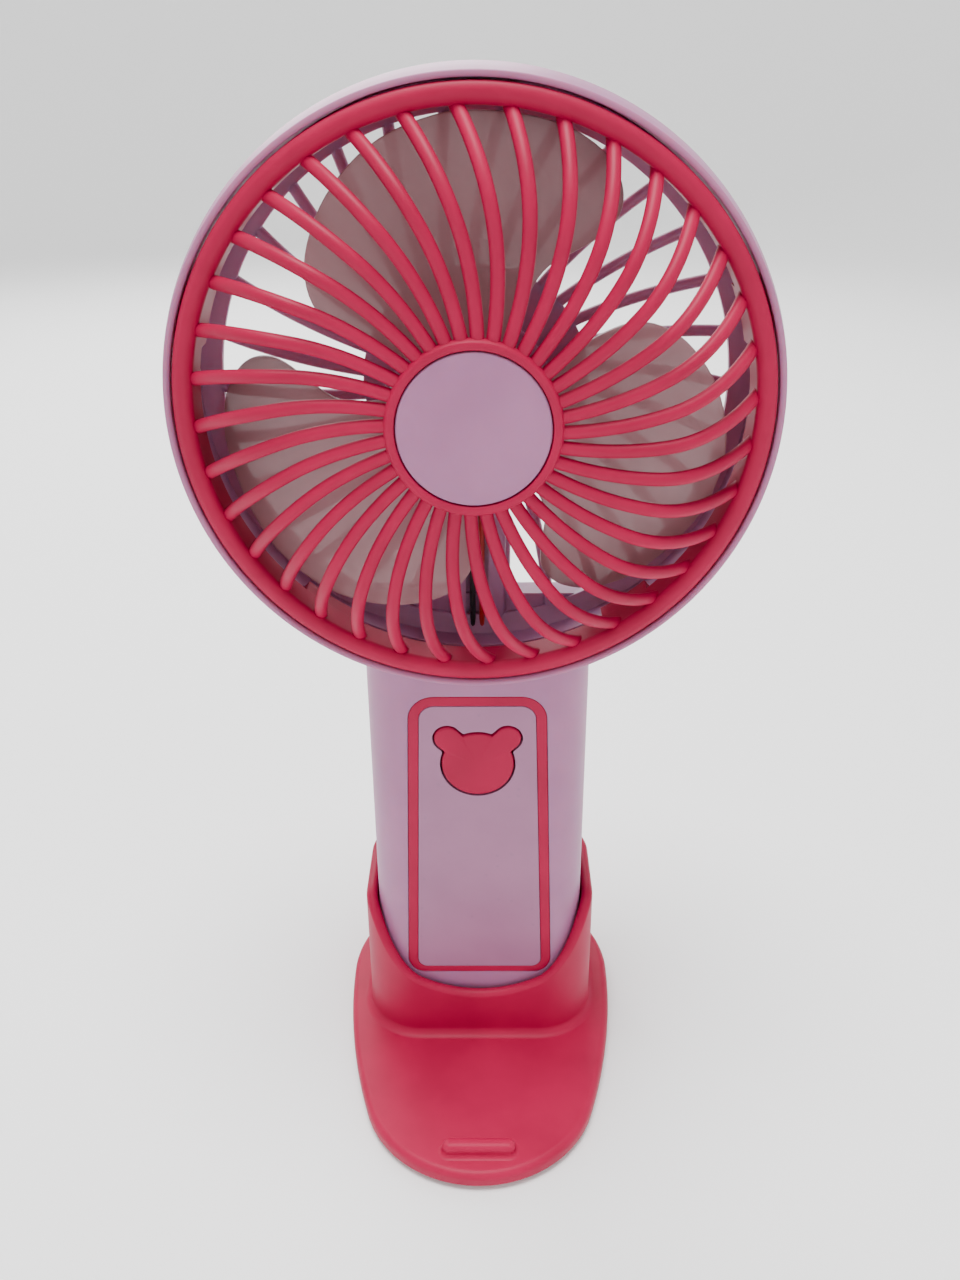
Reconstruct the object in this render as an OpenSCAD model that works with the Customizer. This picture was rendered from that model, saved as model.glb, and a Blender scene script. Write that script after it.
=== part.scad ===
// Hand-held electric fan standing in its phone stand.
// The origin is on the ground, under the middle of the handle. The fan faces -Y and +Z is up.

/* [Head] */
// Outer diameter of the fan head
head_d = 105; // [96:1:126]
// Height of the head's lower edge above the ground
head_low_z = 89.5; // [85.5:0.5:119.5]
// Depth of the head's round side wall, from its front edge to the parting plane
side_depth = 13; // [13:1:16]
// Wall of the moulded shells
wall = 2.1; // [1.8:0.1:2.5]
// Number of ribs in the rear grille
rear_rib_count = 30; // [20:1:36]
// Width of a rear rib
rear_rib_w = 2; // [1.6:0.1:2.6]

/* [Front grille] */
// Number of swirled ribs
rib_count = 36; // [24:1:40]
// Width of a rib
rib_w = 2.2; // [1.8:0.1:2.6]
// Thickness of a rib, front to back
rib_t = 2; // [1.6:0.1:2.4]
// How far the ribs stand in front of the ring
grille_h = 10.4; // [10.4:0.2:13]
// Width of the outer ring, across its front
ring_w = 3.4; // [3:0.1:4.5]
// Diameter of the middle ring
hub_ring_d = 28.8; // [26:0.2:34]
// Width of the middle ring around the cap
hub_ring_w = 1.7; // [1.4:0.1:2.4]

/* [Impeller and motor] */
// Number of blades
blade_count = 3; // [3:1:4]
// Gap between the blade tips and the grille's skirt
tip_gap = 0.8; // [0.6:0.1:3]
// Pitch of the blades in degrees
blade_pitch = 12; // [6:1:13]
// Diameter of the impeller's hub
impeller_hub_d = 18; // [15:0.5:19]
// Diameter of the motor can
motor_d = 20; // [18:0.5:22]
// Diameter of the motor shaft
shaft_d = 2; // [1.5:0.1:2.5]

/* [Handle] */
// Width of the handle
handle_w = 43.2; // [42:0.2:52]
// Depth of the handle, front to back
handle_d = 32; // [30:0.5:39]
// Radius of the handle's corners
handle_r = 9; // [7:0.5:10]
// Distance of the handle's front behind the front edge of the head
handle_back = 1; // [0:0.5:2]

/* [Panel and button] */
// Width of the trim at its top
trim_top_w = 26.2; // [24:0.2:27]
// Width of the trim at its bottom
trim_low_w = 30.4; // [27:0.2:31]
// Width of the trim's line
trim_line = 2; // [1.4:0.1:2.6]
// Distance from the head's lower edge down to the top of the trim
trim_top_drop = 2.5; // [1.5:0.5:5.5]
// Distance from the head's lower edge down to the middle of the button
button_drop = 17.5; // [15.5:0.5:20.5]
// Radius of the button's round face
button_r = 7; // [5.5:0.1:7.6]
// Radius of the two round ears of the button
ear_r = 2.6; // [2:0.1:3]
// Travel of the button
button_travel = 0.8; // [0.4:0.1:0.9]

/* [Battery and board] */
// Diameter of the battery cell
cell_d = 18.4; // [14:0.1:18.6]
// Length of the battery cell
cell_l = 65; // [50:0.5:65]
// Thickness of the circuit board
board_t = 1.4; // [1:0.1:1.6]

/* [Stand] */
// Half the width of the stand's plate
plate_half_w = 29.4; // [27:0.2:36]
// Distance from the handle's middle to the front of the plate
plate_front = 55; // [50:0.5:66]
// Thickness of the plate
plate_t = 3.2; // [2.6:0.1:4]
// Thickness of the anti-slip pad under the plate
pad_t = 1; // [0.8:0.1:1.5]
// Wall of the socket that holds the handle
socket_t = 2.4; // [2:0.1:3]
// Gap between the socket and the handle, on each side
socket_gap = 0.35; // [0.3:0.05:0.5]
// Height of the socket's sides above the plate
socket_h = 31; // [26:1:40]
// Height of the socket's low front above the plate
socket_front_h = 11.4; // [8:0.2:16]
// Length of the ridge that stops a phone
ridge_l = 14.4; // [10:0.2:20]

/* [Hidden] */

$fn = 64;
fit = 0.05;                     // radial clearance of a running fit
eps = 0.01;

// stand
floor_z = pad_t + plate_t;      // top of the plate, where the handle rests
plate_nose_r = 24;              // radius of the plate's front end
plate_mid_y = 3;                // where the plate is widest
pad_inset = 3;
ridge_w = 3;
ridge_h = 2.6;
ridge_setback = 5.7;            // from the plate's front to the ridge's middle
notch_r = 30;                   // round cut that lowers the socket's front
notch_tilt = 35;

// head, measured along the axis from the front edge of the side wall, backwards
head_r = head_d / 2;
head_z = head_low_z + head_r;    // height of the fan axis
head_y = -handle_d / 2 - handle_back;
shell_r = head_r - wall;        // inside of the side wall
lip_front = -1;
dome_t = 2;
dome_edge = side_depth + 5.2;   // where the rear face begins
dome_back = dome_edge + 4.3;    // rear face beside the motor cup
window_out_r = head_r - 7.3;    // the openings between the rear ribs
window_in_r = 20.5;
rear_swirl = 7;                 // degrees that a rear rib turns from its inner to its outer end
spine_w = 11;                   // strut that carries the leads down to the handle
hole_w = 9;                     // opening for the leads

// front grille
ring_r = shell_r - 0.4;
ring_in_r = ring_r - ring_w;
skirt_t = 1.1;
skirt_r = ring_in_r + skirt_t;
skirt_depth = 5.6;
tab_count = 5;
tab_angle = 12;
tab_depth = 9.6;
lug_front = 6.2;                // bayonet lugs of the shell, in front of the hooks
lug_back = 7.8;
hook_out_r = shell_r - 0.4;
hub_r = hub_ring_d / 2;
cap_r = hub_r - hub_ring_w;
plateau_r = 0.6 * head_r;       // inside this radius the ribs lie flat
rib_steps = 8;
rib_start_r = hub_r - 0.9;
rib_end_r = ring_in_r + 1;

// motor and impeller
motor_r = motor_d / 2;
motor_front = side_depth;
motor_back = motor_front + 11.6;
can_t = 0.6;
endcap_t = 1.6;
cup_gap = 0.15;
cup_t = 2.2;
cup_r = motor_r + cup_gap;
cup_back = motor_back + endcap_t + 0.2;
cup_floor = 1.8;
cover_front = motor_front - 1.4;
cover_r = motor_r + 3.5;
cover_screw_r = motor_r + 3.5;
cover_back = motor_front - 0.05;
small_head_r = 1.9;
small_head_t = 0.8;             // sunk flush in the cover
nose_r = 3;
shaft_r = shaft_d / 2;
bush_t = 1.6;
hub_wall = 1.4;                 // of the impeller
hub_front = 3.6;
hub_back = cover_front - 0.45;
blade_mid = 7.6;
blade_t = 1.3;
blade_r = ring_in_r - tip_gap;
blade_turn = -8;                // of the first blade from straight up
blade_edges = [                 // share of blade_r, angles of the leading and the trailing edge
    [0.15, -42, 42], [0.28, -39, 47], [0.39, -36, 51], [0.52, -37, 52], [0.65, -44, 50],
    [0.71, -46.8, 47], [0.77, -48, 42.5], [0.82, -47.8, 37], [0.86, -46.8, 32], [0.9, -45, 26],
    [0.94, -42, 19], [0.97, -38, 11.5], [0.99, -33, 4], [1, -27, -4]];
rotor_front = motor_front + 2;
core_r = motor_r - 3.1;
core_l = 5;
magnet_t = 1.4;
commutator_r = 2.4;

// handle
handle_y0 = -handle_d / 2;
split_y = head_y + side_depth;  // parting plane of the two shells
cavity_top = head_low_z - 0.5;
neck_top = head_low_z + 11.5;
neck_round = 13;                // rounding of the handle's top, behind the head
base_t = 2;
boss_x = handle_w / 2 - wall - 3.3;
boss_low_z = floor_z + 18;
boss_high_z = cavity_top - 9;
boss_r = 2.6;
rear_boss_r = 3.2;
screw_r = 0.95;
screw_head_r = 1.9;
screw_head_t = 1.6;
screw_seat_y = handle_d / 2 - 7;

// panel and button
panel_t = 1;
panel_skin = 1.3;
trim_top_z = head_low_z - trim_top_drop;
trim_low_z = floor_z + 15.2;
trim_top_r = 5;
trim_low_r = 3.4;
button_z = head_low_z - button_drop;
button_gap = 0.35;
button_proud = 0.4;
ear_x = 0.83 * button_r;
ear_z = 0.83 * button_r;
panel_back_y = handle_y0 + panel_t;
skin_back_y = panel_back_y + panel_skin;
flange_t = 1;
flange_y = skin_back_y + 0.3;
stem_r = 1.8;
plunger_r = 1.7;

// board, switch and battery
switch_t = 3.5;
switch_w = 6;
stem_back_y = flange_y + flange_t + 1;
switch_y = stem_back_y + button_travel + 0.1;
board_y = switch_y + switch_t;
board_back_y = board_y + board_t;
board_w = 25;
board_low_z = floor_z + 3.6;
board_top_z = cavity_top - 5;
cell_y = board_back_y + 0.8 + cell_d / 2;
cell_low_z = board_low_z + 6;
tab_t = 0.2;
foam_t = 0.6;
cradle_t = 1.6;
cradle_w = 26;

// charging socket
usb_w = 8.94;
usb_h = 3.26;
usb_l = 7.3;
usb_t = 0.3;
usb_r = 1.6;
usb_low_z = floor_z + 0.6;
usb_y = board_y - usb_h / 2;

lead_r = 0.55;
lead_x = 0.9;

// ---- outlines and placing -------------------------------------------------

// Points of a rectangle with round corners, w by d, centred
function rounded(w, d, r, n = 8) = [for (c = [0:3], i = [0:n])
    let (a = 90 * c + 90 * i / n, sx = (c == 0 || c == 3) ? 1 : -1, sy = c < 2 ? 1 : -1)
    [sx * (w / 2 - r) + r * cos(a), sy * (d / 2 - r) + r * sin(a)]];

function reversed(points) = [for (i = [len(points) - 1:-1:0]) points[i]];

// Degrees that a step of the given length takes round a circle of radius r
function aside(length, r) = length / r * 180 / PI;

// Points of an arc from angle a0 to a1
function arc(cx, cy, r, a0, a1, n = 16) = [for (i = [0:n]) let (a = a0 + (a1 - a0) * i / n)
    [cx + r * cos(a), cy + r * sin(a)]];

// Points of the stand's plate: a round back, long bowed sides and a rounder front
function plate_points(inset = 0) =
    let (hw = plate_half_w - inset, r1 = plate_nose_r - inset, y1 = -plate_front + plate_nose_r,
         d = plate_mid_y - y1, side_r = (hw * hw - r1 * r1 + d * d) / (2 * (hw - r1)),
         turn = asin(d / (side_r - r1)))
    concat(arc(0, plate_mid_y, hw, 0, 180, 32),
        arc(side_r - hw, plate_mid_y, side_r, 180, 180 + turn, 10),
        arc(0, y1, r1, 180 + turn, 360 - turn, 24),
        arc(hw - side_r, plate_mid_y, side_r, -turn, 0, 10));

// Front surface of the ribs at radius r, and their swirl in degrees
function rib_front(r) = -grille_h * (1 - pow(max(0, (r - plateau_r) / (ring_in_r + 0.4 - plateau_r)), 2));
function swirl(r) = -0.3 * (r - hub_r) - 0.0055 * pow(r - hub_r, 2);

module head_place() { translate([0, head_y, head_z]) rotate([-90, 0, 0]) children(); }

// Something round about the fan axis, from (radius, depth) points
module turned(points) { rotate_extrude($fn = 96) polygon(points); }

module disc(r, front, back) { translate([0, 0, front]) cylinder(r = r, h = back - front); }

// A part drawn in the X-Z plane and given depth from y0 to y1
module slab_y(y0, y1) { translate([0, y1, 0]) rotate([90, 0, 0]) linear_extrude(y1 - y0) children(); }

module pin_y(x, z, r, y0, y1) { translate([x, y1, z]) rotate([90, 0, 0]) cylinder(r = r, h = y1 - y0); }

module handle_prism(w, d, r, z0, z1) {
    translate([0, 0, z0]) linear_extrude(z1 - z0) polygon(rounded(w, d, r));
}

module each_boss() {
    for (x = [-boss_x, boss_x], z = [boss_low_z, boss_high_z]) translate([x, 0, z]) children();
}

module each_cover_screw() { for (x = [-cover_screw_r, cover_screw_r]) translate([x, 0, 0]) children(); }

// ---- stand ------------------------------------------------------------------

module stand() color("crimson") {
    outer_w = handle_w + 2 * (socket_gap + socket_t);
    outer_d = handle_d + 2 * (socket_gap + socket_t);
    translate([0, 0, pad_t]) linear_extrude(plate_t) polygon(plate_points());
    difference() {
        handle_prism(outer_w, outer_d, handle_r + socket_gap + socket_t, floor_z - eps, floor_z + socket_h);
        handle_prism(handle_w + 2 * socket_gap, handle_d + 2 * socket_gap, handle_r + socket_gap,
            floor_z - 1, floor_z + socket_h + 1);
        translate([0, -outer_d / 2, floor_z + socket_front_h]) rotate([90 + notch_tilt, 0, 0])
            translate([0, notch_r, 0]) cylinder(r = notch_r, h = 80, center = true, $fn = 96);
    }
    translate([-ridge_l / 2, -plate_front + ridge_setback - ridge_w / 2, floor_z - eps])
        cube([ridge_l, ridge_w, ridge_h]);
}

module stand_grip_pad() color("dimgray") linear_extrude(pad_t) polygon(plate_points(pad_inset));

// ---- the two shells ------------------------------------------------------------

module lead_hole() {
    y0 = split_y - 3;
    translate([-hole_w / 2, y0, cavity_top - 3]) cube([hole_w, 8, head_z - cavity_top - shell_r + 7]);
}

// The handle's outer form: a round-cornered prism whose top is rounded off at the back
module handle_body() intersection() {
    handle_prism(handle_w, handle_d, handle_r, floor_z, neck_top);
    translate([handle_w, 0, 0]) rotate([0, -90, 0]) linear_extrude(2 * handle_w)
        polygon(concat([[0, -handle_d], [0, handle_d / 2 + 1], [neck_top - neck_round, handle_d / 2 + 1]],
            arc(neck_top - neck_round, handle_d / 2 - neck_round, neck_round, 90, 0, 10),
            [[neck_top, -handle_d]]));
}

module handle_cavity() {
    handle_prism(handle_w - 2 * wall, handle_d - 2 * wall, handle_r - wall, floor_z + base_t, cavity_top);
}

module head_space() { head_place() disc(shell_r, -30, side_depth + 2.4); }

module button_outline(grow = 0) {
    circle(r = button_r + grow);
    for (x = [-ear_x, ear_x]) translate([x, ear_z]) circle(r = ear_r + grow, $fn = 48);
}

function trim_side(z, inset) = trim_low_w / 2 - inset
    + (trim_top_w - trim_low_w) / 2 * (z - trim_low_z) / (trim_top_z - trim_low_z);

// The trim's outline in the X-Z plane, wider towards the bottom
function trim_points(inset) =
    let (rt = trim_top_r - inset, rl = trim_low_r - inset * 0.7, zt = trim_top_z - inset,
         zl = trim_low_z + inset * 0.7, xt = trim_side(zt - rt, inset), xl = trim_side(zl + rl, inset))
    concat(arc(xt - rt, zt - rt, rt, 0, 90, 8), arc(rt - xt, zt - rt, rt, 90, 180, 8),
        arc(rl - xl, zl + rl, rl, 180, 270, 8), arc(xl - rl, zl + rl, rl, 270, 360, 8));

module front_shell() color("thistle") {
    head_place() {
        turned([[shell_r, -0.4], [shell_r + 0.5, lip_front], [head_r - 1.4, lip_front],
            [head_r - 0.8, -0.4], [head_r - 0.3, 2], [head_r, 5], [head_r, side_depth],
            [shell_r, side_depth]]);
        for (i = [0:tab_count - 1]) rotate([0, 0, -90 + 360 / tab_count * i - tab_angle / 2]) {
            rotate_extrude(angle = tab_angle, $fn = 96) polygon([[skirt_r + 0.4, lug_front],
                [shell_r + eps, lug_front], [shell_r + eps, lug_back], [skirt_r + 0.4, lug_back]]);
            rotate([0, 0, tab_angle + 0.6]) rotate_extrude(angle = 2, $fn = 96)
                polygon([[skirt_r + 0.4, lug_front], [shell_r + eps, lug_front],
                    [shell_r + eps, tab_depth], [skirt_r + 0.4, tab_depth]]);
        }
    }
    difference() {
        intersection() {
            handle_body();
            translate([-50, -50, 0]) cube([100, 50 + split_y, 200]);
        }
        difference() {
            handle_cavity();
            slab_y(handle_y0, skin_back_y) square([200, 400], center = true);
            each_boss() pin_y(0, 0, boss_r, -50, 50);
        }
        head_space();
        lead_hole();
        slab_y(handle_y0 - 1, panel_back_y) polygon(trim_points(-0.1));
        translate([0, 0, button_z]) slab_y(handle_y0 - 1, skin_back_y + 2) button_outline(button_gap);
        each_boss() pin_y(0, 0, screw_r + fit, split_y - 8, split_y + 1);
        translate([-usb_w / 2 - 0.5, usb_y - usb_h / 2 - 0.5, floor_z - 1]) cube([usb_w + 1, usb_h + 1, 4]);
    }
}

// Openings of the rear grille: a ring less its slightly swirled ribs and the strut
function rear_rib_side(half) = [for (i = [0:5])
    let (r = window_in_r - 1 + (window_out_r + 2 - window_in_r) * i / 5,
         a = rear_swirl * (r - window_out_r) / (window_out_r - window_in_r) + aside(half, r))
    [r * cos(a), r * sin(a)]];

module rear_windows() difference() {
    circle(r = window_out_r, $fn = 96);
    circle(r = window_in_r);
    for (i = [0:rear_rib_count - 1]) rotate([0, 0, 90 + 360 / rear_rib_count * (i + 0.5)])
        polygon(concat(rear_rib_side(rear_rib_w / 2), reversed(rear_rib_side(-rear_rib_w / 2))));
    translate([-spine_w / 2, 0]) square([spine_w, head_r]);
}

module rear_shell() color("plum") {
    difference() {
        head_place() union() {
            turned([[shell_r, side_depth], [head_r, side_depth], [head_r - 0.5, side_depth + 2.4],
                [head_r - 2.2, side_depth + 4.4], [head_r - 4.6, dome_edge], [window_in_r - 1, dome_back],
                [motor_r, dome_back], [motor_r, dome_back - dome_t], [window_in_r - 1, dome_back - dome_t],
                [head_r - 5.2, dome_edge - dome_t], [shell_r - 0.9, side_depth + 2.2]]);
            turned([[shell_r - 1.6, side_depth - 2.4], [shell_r - 0.15, side_depth - 2.4],
                [shell_r - 0.15, side_depth + 2.4], [shell_r - 1.6, side_depth + 2.4]]);
            disc(motor_r + cup_gap + cup_t, motor_front, cup_back + cup_floor);
            each_cover_screw() disc(2.4, motor_front, dome_back);
            translate([-spine_w / 2, motor_r, side_depth + 3.6])
                cube([spine_w, shell_r - motor_r, dome_edge - side_depth - 2]);
        }
        head_place() {
            translate([0, 0, side_depth + 1]) linear_extrude(20) rear_windows();
            disc(cup_r, motor_front - 1, cup_back);
            each_cover_screw() disc(screw_r + 0.1, motor_front - 1, dome_edge);
            translate([-2.2, motor_r - 1, motor_front + 1]) cube([4.4, 3.2, cup_back - motor_front - 1]);
            translate([-2.2, motor_r, side_depth + 2.6]) cube([4.4, shell_r - motor_r, 2.6]);
        }
        lead_hole();
    }
    difference() {
        intersection() {
            handle_body();
            translate([-50, split_y, 0]) cube([100, 50, 200]);
        }
        difference() {
            handle_cavity();
            each_boss() pin_y(0, 0, rear_boss_r, -50, 50);
            for (k = [0.2, 0.5, 0.8])
                translate([-cradle_w / 2, cell_y, cell_low_z + k * cell_l - cradle_t / 2])
                    cube([cradle_w, 50, cradle_t]);
        }
        head_place() disc(head_r - 0.4, -30, dome_edge - 0.8);
        lead_hole();
        pin_cell(cell_d / 2 + 0.1);
        each_boss() {
            pin_y(0, 0, 1.25, split_y - 1, handle_d);
            pin_y(0, 0, 2.3, screw_seat_y - screw_head_t, handle_d);
        }
    }
}

module shell_screws() color("silver") each_boss() {
    difference() {
        pin_y(0, 0, screw_head_r, screw_seat_y - screw_head_t, screw_seat_y);
        pin_y(0, 0, 0.5, screw_seat_y - 0.8, screw_seat_y + 1);
    }
    pin_y(0, 0, screw_r, split_y - 6.5, screw_seat_y - screw_head_t + eps);
}

// ---- front grille ----------------------------------------------------------------

// One swirled rib as a flat outline, from the middle ring to the outer ring
function rib_side(half) = [for (i = [0:rib_steps])
    let (r = rib_start_r + (rib_end_r - rib_start_r) * i / rib_steps, a = swirl(r) + aside(half, r))
    [r * cos(a), r * sin(a)]];

rib_radii = concat([rib_start_r - 1, plateau_r], [for (k = [1:5])
    plateau_r + (rib_end_r + 0.6 - plateau_r) * k / 5]);

module front_grille() color("crimson") head_place() {
    union() {
        turned([[ring_in_r, -0.2], [ring_in_r + 0.7, -1.2], [ring_in_r + 1.4, -1.5], [ring_r - 0.8, -1.5],
            [ring_r, -0.8], [ring_r, 2], [skirt_r, 2], [skirt_r, skirt_depth], [ring_in_r, skirt_depth]]);
        turned([[cap_r - 1, -grille_h + 0.8], [cap_r, -grille_h + 0.8], [cap_r, -grille_h - 0.1],
            [cap_r + 0.5, -grille_h - 0.5], [hub_r - 0.5, -grille_h - 0.5], [hub_r, -grille_h],
            [hub_r, -grille_h + rib_t], [0, -grille_h + rib_t], [0, -grille_h + 0.8]]);
        for (i = [0:tab_count - 1]) rotate([0, 0, -90 + 360 / tab_count * i - tab_angle / 2])
            rotate_extrude(angle = tab_angle, $fn = 96) polygon([[ring_in_r + 0.1, skirt_depth - 0.5],
                [skirt_r - 0.1, skirt_depth - 0.5], [skirt_r - 0.1, lug_back + 0.3],
                [hook_out_r, lug_back + 0.3], [hook_out_r, tab_depth], [ring_in_r + 0.1, tab_depth]]);
        intersection() {
            translate([0, 0, -grille_h - 2]) linear_extrude(grille_h + 6) for (i = [0:rib_count - 1])
                rotate([0, 0, 360 / rib_count * (i + 0.25)])
                    polygon(concat(rib_side(rib_w / 2), reversed(rib_side(-rib_w / 2))));
            turned(concat([for (r = rib_radii) [r, rib_front(r)]],
                reversed([for (r = rib_radii) [r, rib_front(r) + rib_t]])));
        }
    }
}

module grille_cap() color("plum") head_place() {
    turned([[0, -grille_h - 0.7], [cap_r * 0.6, -grille_h - 0.6], [cap_r - 0.7, -grille_h - 0.4],
        [cap_r - 0.2, -grille_h], [cap_r - 0.2, -grille_h + 0.75], [0, -grille_h + 0.75]]);
}

// ---- panel and button ---------------------------------------------------------------

// The panel's pieces follow the handle's round corners
module on_handle() intersection() {
    slab_y(handle_y0, panel_back_y) children();
    handle_prism(handle_w, handle_d, handle_r, floor_z, cavity_top);
}

module panel_trim() color("crimson") on_handle() difference() {
    polygon(trim_points(0));
    polygon(trim_points(trim_line));
}

module panel_plate() color("plum") on_handle() difference() {
    polygon(trim_points(trim_line + 0.05));
    translate([0, button_z]) button_outline(button_gap);
}

module power_button() color("crimson") translate([0, 0, button_z]) {
    slab_y(handle_y0 - button_proud, flange_y + eps) button_outline();
    slab_y(flange_y, flange_y + flange_t) button_outline(0.9);
    pin_y(0, 0, stem_r, flange_y + flange_t - eps, stem_back_y);
}

module switch_plunger() color("black") translate([0, 0, button_z])
    pin_y(0, 0, plunger_r, stem_back_y, switch_y + 1.4);

module switch_body() color("silver") translate([0, 0, button_z]) difference() {
    slab_y(switch_y, board_y) square(switch_w, center = true);
    pin_y(0, 0, plunger_r + fit, switch_y - 1, switch_y + 1.4 + button_travel + 0.2);
}

// ---- board, socket and battery ----------------------------------------------------------

module circuit_board() color("darkgreen")
    translate([-board_w / 2, board_y, board_low_z]) cube([board_w, board_t, board_top_z - board_low_z]);

module chip(x, z, w, h, t) { translate([x - w / 2, board_y - t, z - h / 2]) cube([w, t, h]); }

module board_parts() color("black") {
    chip(-6, button_z - 14, 5, 4, 1.5);
    chip(6, button_z - 14, 4, 5, 1.1);
    chip(5, button_z - 24, 6, 6, 2.2);
    chip(-6, button_z - 23, 3, 1.6, 0.8);
    chip(-6, button_z - 27, 3, 1.6, 0.8);
}

module charge_led() color("white") chip(9, usb_low_z + 6, 1.6, 3.2, 1.1);

module usb_outline(grow) { polygon(rounded(usb_w + 2 * grow, usb_h + 2 * grow, usb_r + grow)); }

module usb_socket_shell() color("silver") translate([0, usb_y, usb_low_z]) difference() {
    linear_extrude(usb_l) usb_outline(0);
    translate([0, 0, -1]) linear_extrude(usb_l) usb_outline(-usb_t);
}

module usb_socket_tongue() color("black")
    translate([-3.3, usb_y - 0.35, usb_low_z + 1]) cube([6.6, 0.7, usb_l - 2]);

module pin_cell(r) { translate([0, cell_y, cell_low_z]) cylinder(r = r, h = cell_l); }

module battery_cell() color("seagreen") {
    pin_cell(cell_d / 2);
    translate([0, cell_y, cell_low_z + cell_l - eps]) cylinder(r = 3, h = 0.6);
}

module battery_tabs() color("silver") for (z = [cell_low_z - tab_t, cell_low_z + cell_l + 0.6])
    translate([-3, board_back_y, z]) cube([6, cell_y - board_back_y + 3, tab_t]);

module battery_foam() color("gray") translate([-6, board_back_y, cell_low_z + 8])
    cube([12, foam_t, cell_l - 16]);

// ---- motor ---------------------------------------------------------------------------------

module motor_cover() color("plum") head_place() difference() {
    union() {
        disc(cover_r, cover_front, cover_back);
        each_cover_screw() disc(small_head_r + 0.8, cover_front, cover_back);
    }
    disc(nose_r + 1, cover_front - 1, motor_front + 1);
    each_cover_screw() {
        disc(screw_r + 0.25, cover_front - 1, motor_front + 1);
        disc(small_head_r + 0.1, cover_front - 1, cover_front + small_head_t);
    }
}

module motor_screws() color("silver") head_place() each_cover_screw() {
    disc(small_head_r, cover_front, cover_front + small_head_t);
    disc(screw_r, cover_front + small_head_t - eps, dome_edge - 1);
}

module motor_can() color("silver") head_place()
    turned([[nose_r - 1, cover_front], [nose_r, cover_front], [nose_r, motor_front],
        [motor_r - 0.6, motor_front], [motor_r, motor_front + 0.6], [motor_r, motor_back],
        [motor_r - can_t, motor_back],
        [motor_r - can_t, motor_front + can_t + 0.6], [nose_r - 1, motor_front + can_t + 0.6]]);

module motor_bushings() color("goldenrod") head_place() for (front = [cover_front, motor_back + 0.2])
    difference() {
        disc(nose_r - 1 - 0.02, front, front + bush_t - 0.3);
        disc(shaft_r + fit, front - 1, front + bush_t + 1);
    }

module motor_magnets() color("dimgray") head_place() for (turn = [0, 180]) rotate([0, 0, turn - 55])
    rotate_extrude(angle = 110, $fn = 96) polygon([[motor_r - can_t - magnet_t, rotor_front],
        [motor_r - can_t - 0.05, rotor_front], [motor_r - can_t - 0.05, motor_back - 1.6],
        [motor_r - can_t - magnet_t, motor_back - 1.6]]);

module motor_endcap() color("white") head_place() difference() {
    disc(motor_r - 0.1, motor_back, motor_back + endcap_t);
    disc(nose_r - 1, motor_back - 1, motor_back + 5);
}

module motor_brushes() color("goldenrod") head_place() for (side = [-1, 1])
    translate([side * (commutator_r + 0.35 + 0.4) - 0.4, -1, motor_back - 1.2]) cube([0.8, 2, 1.2]);

module motor_shaft() color("silver") head_place() disc(shaft_r, hub_front + 1, motor_back + endcap_t - 0.1);

module armature_core() color("slategray") head_place() translate([0, 0, rotor_front + 0.6])
    linear_extrude(core_l) difference() {
        union() {
            circle(r = core_r * 0.42);
            for (i = [0:2]) rotate([0, 0, 120 * i]) {
                translate([0, -1]) square([core_r - 0.6, 2]);
                polygon(concat(arc(0, 0, core_r, -42, 42), reversed(arc(0, 0, core_r - 1.1, -42, 42))));
            }
        }
        circle(r = shaft_r + 0.01);
    }

module armature_windings() color("chocolate") head_place() for (i = [0:2]) rotate([0, 0, 120 * i])
    for (side = [-1, 1]) translate([core_r * 0.46, side * 2 - 0.9, rotor_front + 0.2])
        cube([core_r * 0.26, 1.8, core_l + 0.8]);

module commutator() color("goldenrod") head_place() difference() {
    disc(commutator_r, motor_back - 2, motor_back - 0.1);
    disc(shaft_r + 0.01, motor_back - 3, motor_back + 1);
}

// A broad leaf that hooks forward at its tip, drawn towards +Y
module blade_outline() {
    polygon(concat([for (e = blade_edges) blade_r * e[0] * [sin(e[1]), cos(e[1])]],
        reversed([for (e = blade_edges) blade_r * e[0] * [sin(e[2]), cos(e[2])]])));
}

module impeller() color("rosybrown") head_place() difference() {
    union() {
        turned([[0, hub_front], [impeller_hub_d / 2 - 1.2, hub_front], [impeller_hub_d / 2, hub_front + 1.2],
            [impeller_hub_d / 2, hub_back], [impeller_hub_d / 2 - hub_wall, hub_back],
            [impeller_hub_d / 2 - hub_wall, hub_front + 2], [nose_r, hub_front + 2], [nose_r, hub_back - 0.2],
            [0, hub_back - 0.2]]);
        for (i = [0:blade_count - 1]) rotate([0, 0, 360 / blade_count * i + blade_turn + 180])
            difference() {
                intersection() {
                    linear_extrude(60, center = true) blade_outline();
                    translate([0, 0, blade_mid]) rotate([0, blade_pitch, 0])
                        cube([200, 200, blade_t], center = true);
                }
                disc(impeller_hub_d / 2 - hub_wall / 2, -30, 60);
            }
    }
    disc(shaft_r + 0.01, hub_front + 1, 60);
}

// ---- leads -------------------------------------------------------------------------------------

// A round lead along points in the Y-Z plane at x, as one closed tube
function lead_ring(p, dir, n = 8) = let (side = [1, 0, 0], up = cross(dir, side))
    [for (i = [0:n - 1]) p + lead_r * (cos(360 * i / n) * side + sin(360 * i / n) * up)];

module lead(points) {
    count = len(points);
    rings = [for (i = [0:count - 1]) let (d = points[min(i + 1, count - 1)] - points[max(i - 1, 0)])
        lead_ring(points[i], d / norm(d))];
    polyhedron([for (ring = rings) each ring], concat([[for (i = [7:-1:0]) i]],
        [for (k = [0:count - 2], i = [0:7]) let (j = (i + 1) % 8)
            [8 * k + i, 8 * k + j, 8 * k + 8 + j, 8 * k + 8 + i]],
        [[for (i = [0:7]) 8 * (count - 1) + i]]));
}

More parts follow.
